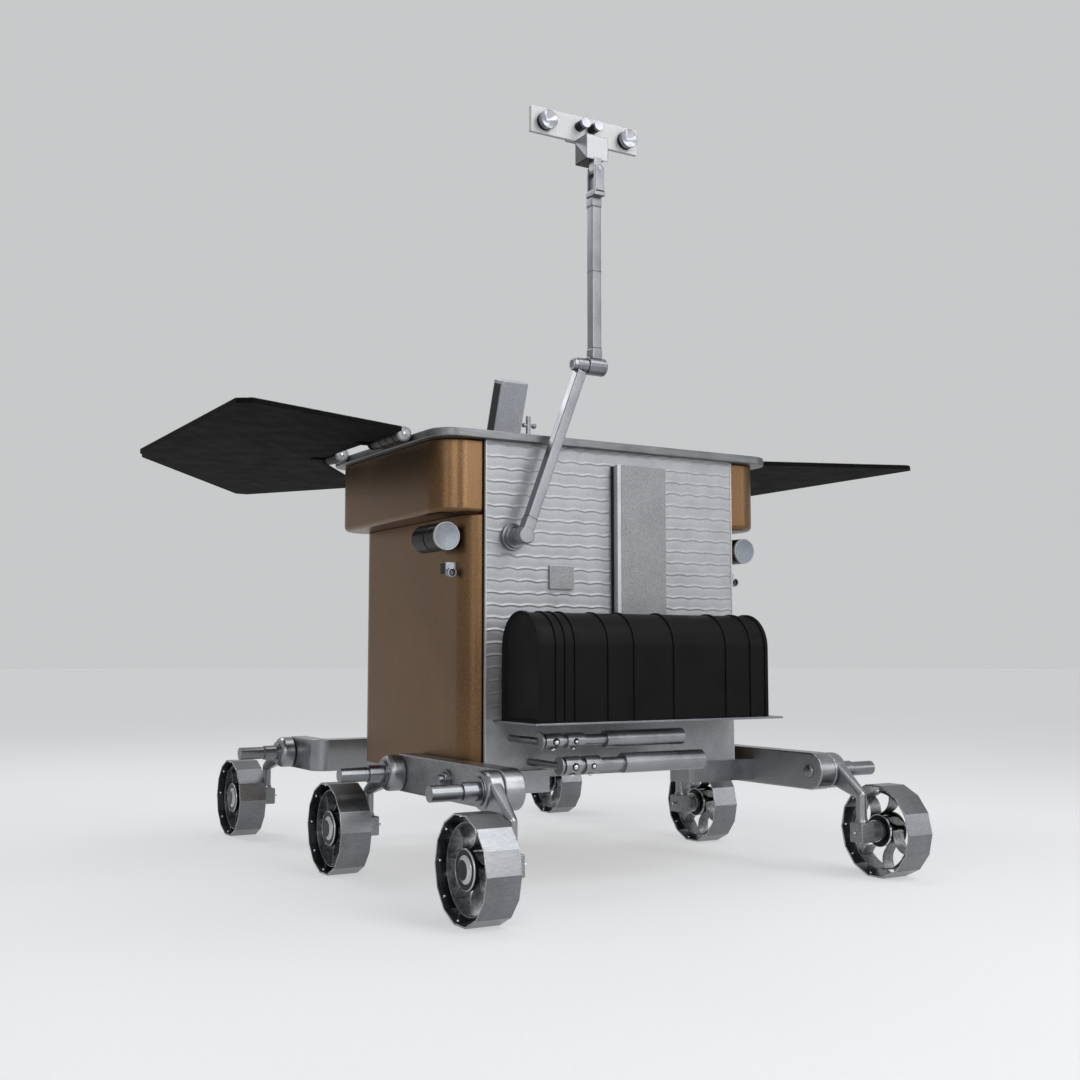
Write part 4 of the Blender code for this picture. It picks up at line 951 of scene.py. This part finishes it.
def hinge(tag, span, side):
    """Grey disc with a centre bolt before a black ribbed barrel, on a tab from the deck's edge."""
    put = partial(piece, slot="hinge_black", side=side)
    centre, (y0, y1) = (HINGE_X, WING_Z), span_y(span)
    end = y1 - 0.03 - GAP
    ribs = []
    for share in (0.25, 0.5, 0.75):
        y = y0 + 0.008 + (end - y0 - 0.008) * share
        ribs += [(y - 0.008, 0.0188), (y - 0.006, 0.0202), (y + 0.006, 0.0202), (y + 0.008, 0.0188)]
    barrel = spun("Y", centre, ((y0 + 0.004, 0.02), (y0 + 0.016, 0.02), (y0 + 0.018, 0.0188), *ribs,
                                (end - 0.01, 0.0188), (end - 0.008, 0.02), (end, 0.02)), 56)
    tab_y = (y0 + 0.012, min(y1 - 0.035, y_at(1.11)))
    tab = block((DECK_HALF + GAP, HINGE_X - 0.004), tab_y, (WING_Z - 0.018, WING_Z - 0.002), 0.002)
    put(f"hinge_barrel_{tag}", together(barrel, tab), black_anodised_and_shade, (f"wing_hinge_{tag}",))
    disc = spun("Y", centre, (
        (0.0015, 0.017), (0.0, 0.0182), (0.0002, 0.021), (0.0015, 0.0222), (0.006, 0.0222)), 56, y0)
    put(f"hinge_disc_{tag}", disc, blasted_sheet, smooth=50.0)
    bolt = spun("Y", centre, ((0.0025, 0.0055), (-0.0005, 0.0055), (-0.0018, 0.0042), (-0.0022, 0.002)), 24, y0)
    put(f"hinge_bolt_{tag}", bolt, bright_steel)


for side_name, side in SIDES:
    panel(f"wing_{side_name}", WING_OUTLINE, side)
    panel(f"wing_tail_{side_name}", [folded_over(point) for point in WING_OUTLINE], side)
    for place, span in HINGES:
        hinge(f"{place}_{side_name}", span, side)


# Mast

on_mast = partial(piece, slot="mast_metal")


def mast_base():
    """The stepped flange on the panel that the lower link turns on."""
    front, back = y_at(0.352) + GAP, PANEL_FRONT
    base = spun("Y", (MAST_X, MAST_Z), (
        (front, 0.019), (front + 0.012, 0.019), (front + 0.012, 0.024), (back - 0.022, 0.024),
        (back - 0.022, 0.032), (back - 0.012, 0.032), (back - 0.012, 0.0386), (back, 0.0386)))
    on_mast("mast_flange", eased(base, 0.0014), mast_metal, ("mast_base",))


def mast_lower():
    """Hub, leaning square link with its collar, and the elbow's near barrel."""
    put = partial(on_mast, body="mast_lower")
    front, back = y_at(0.318) - 0.0055, y_at(0.352)
    hub = spun("Y", (MAST_X, MAST_Z), (
        (0.0, 0.0215), (0.0028, 0.0243), (0.013, 0.0243), (0.013, 0.0228), (0.016, 0.0228), (0.016, 0.0243),
        (back - front, 0.0243)), at=front)
    lean = Matrix.Translation((MAST_X, MAST_Y, MAST_Z)) @ Matrix.Rotation(LINK_LEAN, 4, "Y")
    length = (ELBOW_Z - MAST_Z) / cos(LINK_LEAN)
    across = about(0.0, LINK_HALF)
    link = block(across, across, (0.018, length - 0.02), LINK_EDGE, 3)
    collar = block(about(0.0, LINK_HALF + 0.0015), (-LINK_HALF - 0.0005, LINK_HALF + 0.0015), (0.012, 0.052),
                   LINK_EDGE, 3)
    barrel = spun("X", (MAST_Y, ELBOW_Z), (
        (-0.196, 0.012), (-0.196, 0.0165), (-0.1945, 0.018), (-0.184, 0.019), (-0.184, 0.021), (-0.17, 0.021),
        (-0.17, 0.0198), (-0.167, 0.0198), (-0.167, 0.021), (-0.1483, 0.021)), 64)
    whole = together(eased(hub, 0.0008), turn(link, lean), turn(collar, lean), eased(barrel, 0.0008))
    put("mast_lower_link", whole, mast_metal, ("mast_lower",))
    across = about(0.0, LINK_HALF + 0.0005)
    put("mast_lower_line", turn(block(across, across, (0.0525, 0.0545), 0.003), lean), black_anodised_and_shade)
    ring = eased(band("X", (MAST_Y, ELBOW_Z), (-0.1972, -0.19), (0.0125, 0.015)), 0.0006)
    put("mast_elbow_ring", ring, bright_steel)


def mast_upper():
    """The elbow's far barrel, upright square link with two collars, and the head's fork with its pin."""
    put = partial(on_mast, body="mast_upper")
    barrel = spun("X", (MAST_Y, ELBOW_Z), (
        (-0.148, 0.024), (-0.146, 0.026), (-0.1, 0.026), (-0.1, 0.0245), (-0.097, 0.0245), (-0.097, 0.026),
        (-0.09, 0.026), (-0.086, 0.022)), 64)

    def bar(z, wider=0.0, edge=LINK_EDGE, segments=3):
        return block(about(UPPER_X, LINK_HALF + wider), about(MAST_Y, LINK_HALF + wider), z, edge, segments)

    collars = [bar((ELBOW_Z + 0.02, ELBOW_Z + 0.052), 0.0015),
               bar((UPPER_TOP_Z - 0.028, UPPER_TOP_Z - 0.002), 0.0015)]
    y0, y1 = FORK_Y
    base = block(about(UPPER_X, 0.019), FORK_Y, (UPPER_TOP_Z, UPPER_TOP_Z + 0.018), 0.0025, 3)
    cheek = [(x, UPPER_TOP_Z + 0.01) for x in about(UPPER_X, LINK_HALF)]
    cheek += arc((UPPER_X, PIN_Z), LINK_HALF, 0, 180, 24)
    cheeks = [eased(drawn("Y", cheek, span), 0.0014, 2, 50.0) for span in ((y0, y0 + CHEEK), (y1 - CHEEK, y1))]
    whole = together(eased(barrel, 0.0008), bar((ELBOW_Z, UPPER_TOP_Z + 0.004)), *collars, base, *cheeks)
    put("mast_upper_link", whole, mast_metal, ("mast_upper",))
    lines = [bar((z, z + 0.002), 0.0005, 0.003, 2) for z in (ELBOW_Z + 0.0525, 1.76, UPPER_TOP_Z - 0.0305)]
    put("mast_upper_lines", together(*lines), black_anodised_and_shade)
    pin = spun("Y", (UPPER_X, PIN_Z), (
        (y0 - 0.003, 0.005), (y0 - 0.002, 0.0062), (y0 + 0.0005, 0.0062), (y0 + 0.0005, 0.0037),
        (y1 - 0.0005, 0.0037), (y1 - 0.0005, 0.0062), (y1 + 0.002, 0.0062)), 28)
    put("mast_fork_pin", pin, bright_steel)


def mast_head():
    """White bar with two wide and two small eyes, on a wedge with a tongue for the fork."""
    put = partial(on_mast, body="mast_head")
    (y_front, y_back), (z0, z1) = HEAD_Y, HEAD_Z
    put("head_bar", block(about(UPPER_X, 0.189), HEAD_Y, HEAD_Z, 0.0028, 3), white_paint, ("mast_head",))
    backer = block(about(UPPER_X, 0.05), (y_front + 0.002, y_back + 0.026), (z0 + 0.008, z1 - 0.012), 0.004, 3)
    put("head_back", backer, cast_face)
    (y0, y1), top = span_y((0.309, 0.372)), z0 + 0.001
    face = block(about(UPPER_X, 0.036), (y0 - 0.0004, y0 + 0.003), (2.097, top - 0.003), 0.0012)
    put("head_wedge_face", face, white_paint)
    wedge = drawn("X", ((y0, 2.093), (y1 + 0.01, top), (y0, top)), about(UPPER_X, 0.038))
    put("head_wedge", eased(wedge, 0.0018, 2, 40.0), mast_metal)
    # Near-black box behind the wedge: painted shade of the head's rear body, which lies in shadow
    box = block(about(UPPER_X, 0.029), (y0 + 0.004, y_back - 0.001), (2.097, top - 0.002), 0.003)
    put("head_box_painted_shade", box, black_anodised_and_shade)
    play = CHEEK + GAP
    outline = [(UPPER_X + 0.013, 2.103), (UPPER_X - 0.013, 2.103), *arc((UPPER_X, PIN_Z), 0.013, 180, 360, 20)]
    tongue = drawn("Y", outline, (FORK_Y[0] + play, FORK_Y[1] - play))
    put("head_tongue", eased(tongue, 0.001, 2, 50.0), satin_metal)

    eye_tube_shades, collars, cones, windows, glasses = [], [], [], [], []
    back = y_front + 0.004
    front = y_at(0.347)
    for x in about(UPPER_X, 0.142):
        eye = (x, 2.203)
        cup = ((front + 0.015, 0.0255), (front + 0.006, 0.0255), (front + 0.006, 0.027), (back, 0.027))
        eye_tube_shades.append(spun("Y", eye, cup, 56))
        collars.append(eased(band("Y", eye, (0.0, 0.011), (0.0268, 0.0284), 56, front), 0.0005))
        cones.append(spun("Y", eye, ((0.0118, 0.0055), (0.0004, 0.0272), (0.014, 0.0272)), 56, front))
        glasses.append(ball(on_axis("Y", front + 0.011, eye), 0.006, 24, (1.0, 0.5, 1.0)))
    front = y_at(0.333)
    for x in about(UPPER_X, 0.0225):
        eye = (x, 2.213)
        tube = spun("Y", eye, ((front + 0.006, 0.0145), (front + 0.008, 0.015), (back, 0.015)), 48)
        eye_tube_shades.append(eased(tube, 0.0006))
        collars.append(eased(band("Y", eye, (0.0, 0.01), (0.0148, 0.016), 48, front), 0.0004))
        windows.append(spun("Y", eye, ((0.001, 0.004), (0.0002, 0.015), (0.006, 0.015)), 48, front))
    # Eye tubes in near black behind their pale collars: painted shade of their sides, which lie in shadow
    put("head_eye_tube_shade", together(*eye_tube_shades), black_anodised_and_shade)
    put("head_collars", together(*collars), mast_metal, smooth=50.0)
    put("head_cones", together(*cones), reflector, smooth=50.0)
    put("head_windows", together(*windows), pale_window, smooth=50.0)
    put("head_lenses", together(*glasses), pale_window)


mast_base()
mast_lower()
mast_upper()
mast_head()

# The brackets keep their CAD shape
for name in ("bogie_bracket_left", "bogie_bracket_right", "rear_bracket"):
    coat(name, satin_metal)


# Floor, light and camera


def two_strengths(tree, lighting, seen):
    """One strength where a surface only gives light, one where the eye, a reflection or glass sees it."""
    path = add(tree, "LightPath").outputs
    sight = path["Is Camera Ray"]
    for ray in ("Is Glossy Ray", "Is Transmission Ray"):
        sight = add(tree, "Math", None, {0: sight, 1: path[ray]}, {"operation": "MAXIMUM"})
    return add(tree, "MapRange", {"To Min": lighting, "To Max": seen}, {"Value": sight})


def floor():
    """A wide pale floor, with part of its paleness seen only, so that it gives the rover little light."""
    bm = bmesh.new()
    bmesh.ops.create_circle(bm, cap_ends=True, segments=96, radius=60.0,
                            matrix=Matrix.Translation((0.0, 0.0, -0.0006)))
    made = placed("floor", mesh_of("floor", bm))
    material = surface("pale_studio_floor", "9FA0A1", "A5A6A7", 0.0, 0.8, 12.0, 0.02, patch_mm=900.0)
    tree = material.node_tree
    fit(tree, tree.nodes["Principled BSDF"], {"Emission Color": linear("F2F3F4")},
        {"Emission Strength": two_strengths(tree, 0.0, 0.53)})
    made.data.materials.append(material)


def world():
    """Pale surroundings for the eye and for reflections, weaker as light."""
    made = bpy.data.worlds.new("studio")
    bpy.context.scene.world = made
    made.use_nodes = True
    tree = made.node_tree
    fit(tree, tree.nodes["Background"], {"Color": linear("F2F3F4")},
        {"Strength": two_strengths(tree, 0.22, 0.65)})


def lamp(name, place, aim, size, power):
    """A soft box that faces a point."""
    light = bpy.data.lights.new(name, "AREA")
    light.shape = "RECTANGLE"
    light.size, light.size_y = size
    light.energy = power
    made = placed(name, light)
    made.location = place
    made.rotation_euler = (Vector(aim) - Vector(place)).to_track_quat("-Z", "Y").to_euler()


# (name, place, aim, width and height, watts)
LAMPS = (
    ("key", (1.0, -4.8, 2.5), (0.0, -0.4, 0.8), (1.7, 3.0), 72.0),
    ("right", (3.6, -3.5, 1.6), (0.6, -1.0, 0.3), (1.0, 1.6), 15.0),
    ("crown", (1.3, -3.2, 4.6), (0.0, -0.3, 0.8), (2.4, 2.0), 70.0),
    ("fill", (-2.6, -5.0, 2.4), (0.0, -0.4, 0.8), (2.0, 2.0), 50.0),
    ("left", (-4.2, -3.0, 1.5), (-0.6, -0.8, 0.3), (0.8, 1.8), 12.0),
    ("top", (0.2, 0.4, 4.6), (0.0, 0.0, 0.9), (2.6, 2.6), 52.0),
    ("back", (-1.2, 3.6, 4.4), (0.0, 0.3, 0.9), (2.6, 2.2), 70.0),
)

floor()
world()
for row in LAMPS:
    lamp(*row)

# Fitted to the places of the wheels in the photo
camera = placed("camera", bpy.data.cameras.new("camera"))
camera.data.sensor_width = 36.0
camera.data.lens = 43.518
camera.location = (-2.17728, -3.82022, 0.64282)
camera.rotation_euler = (radians(95.0103), 0.0, radians(-30.8145))
bpy.context.scene.camera = camera
bpy.context.scene.view_settings.view_transform = "Standard"
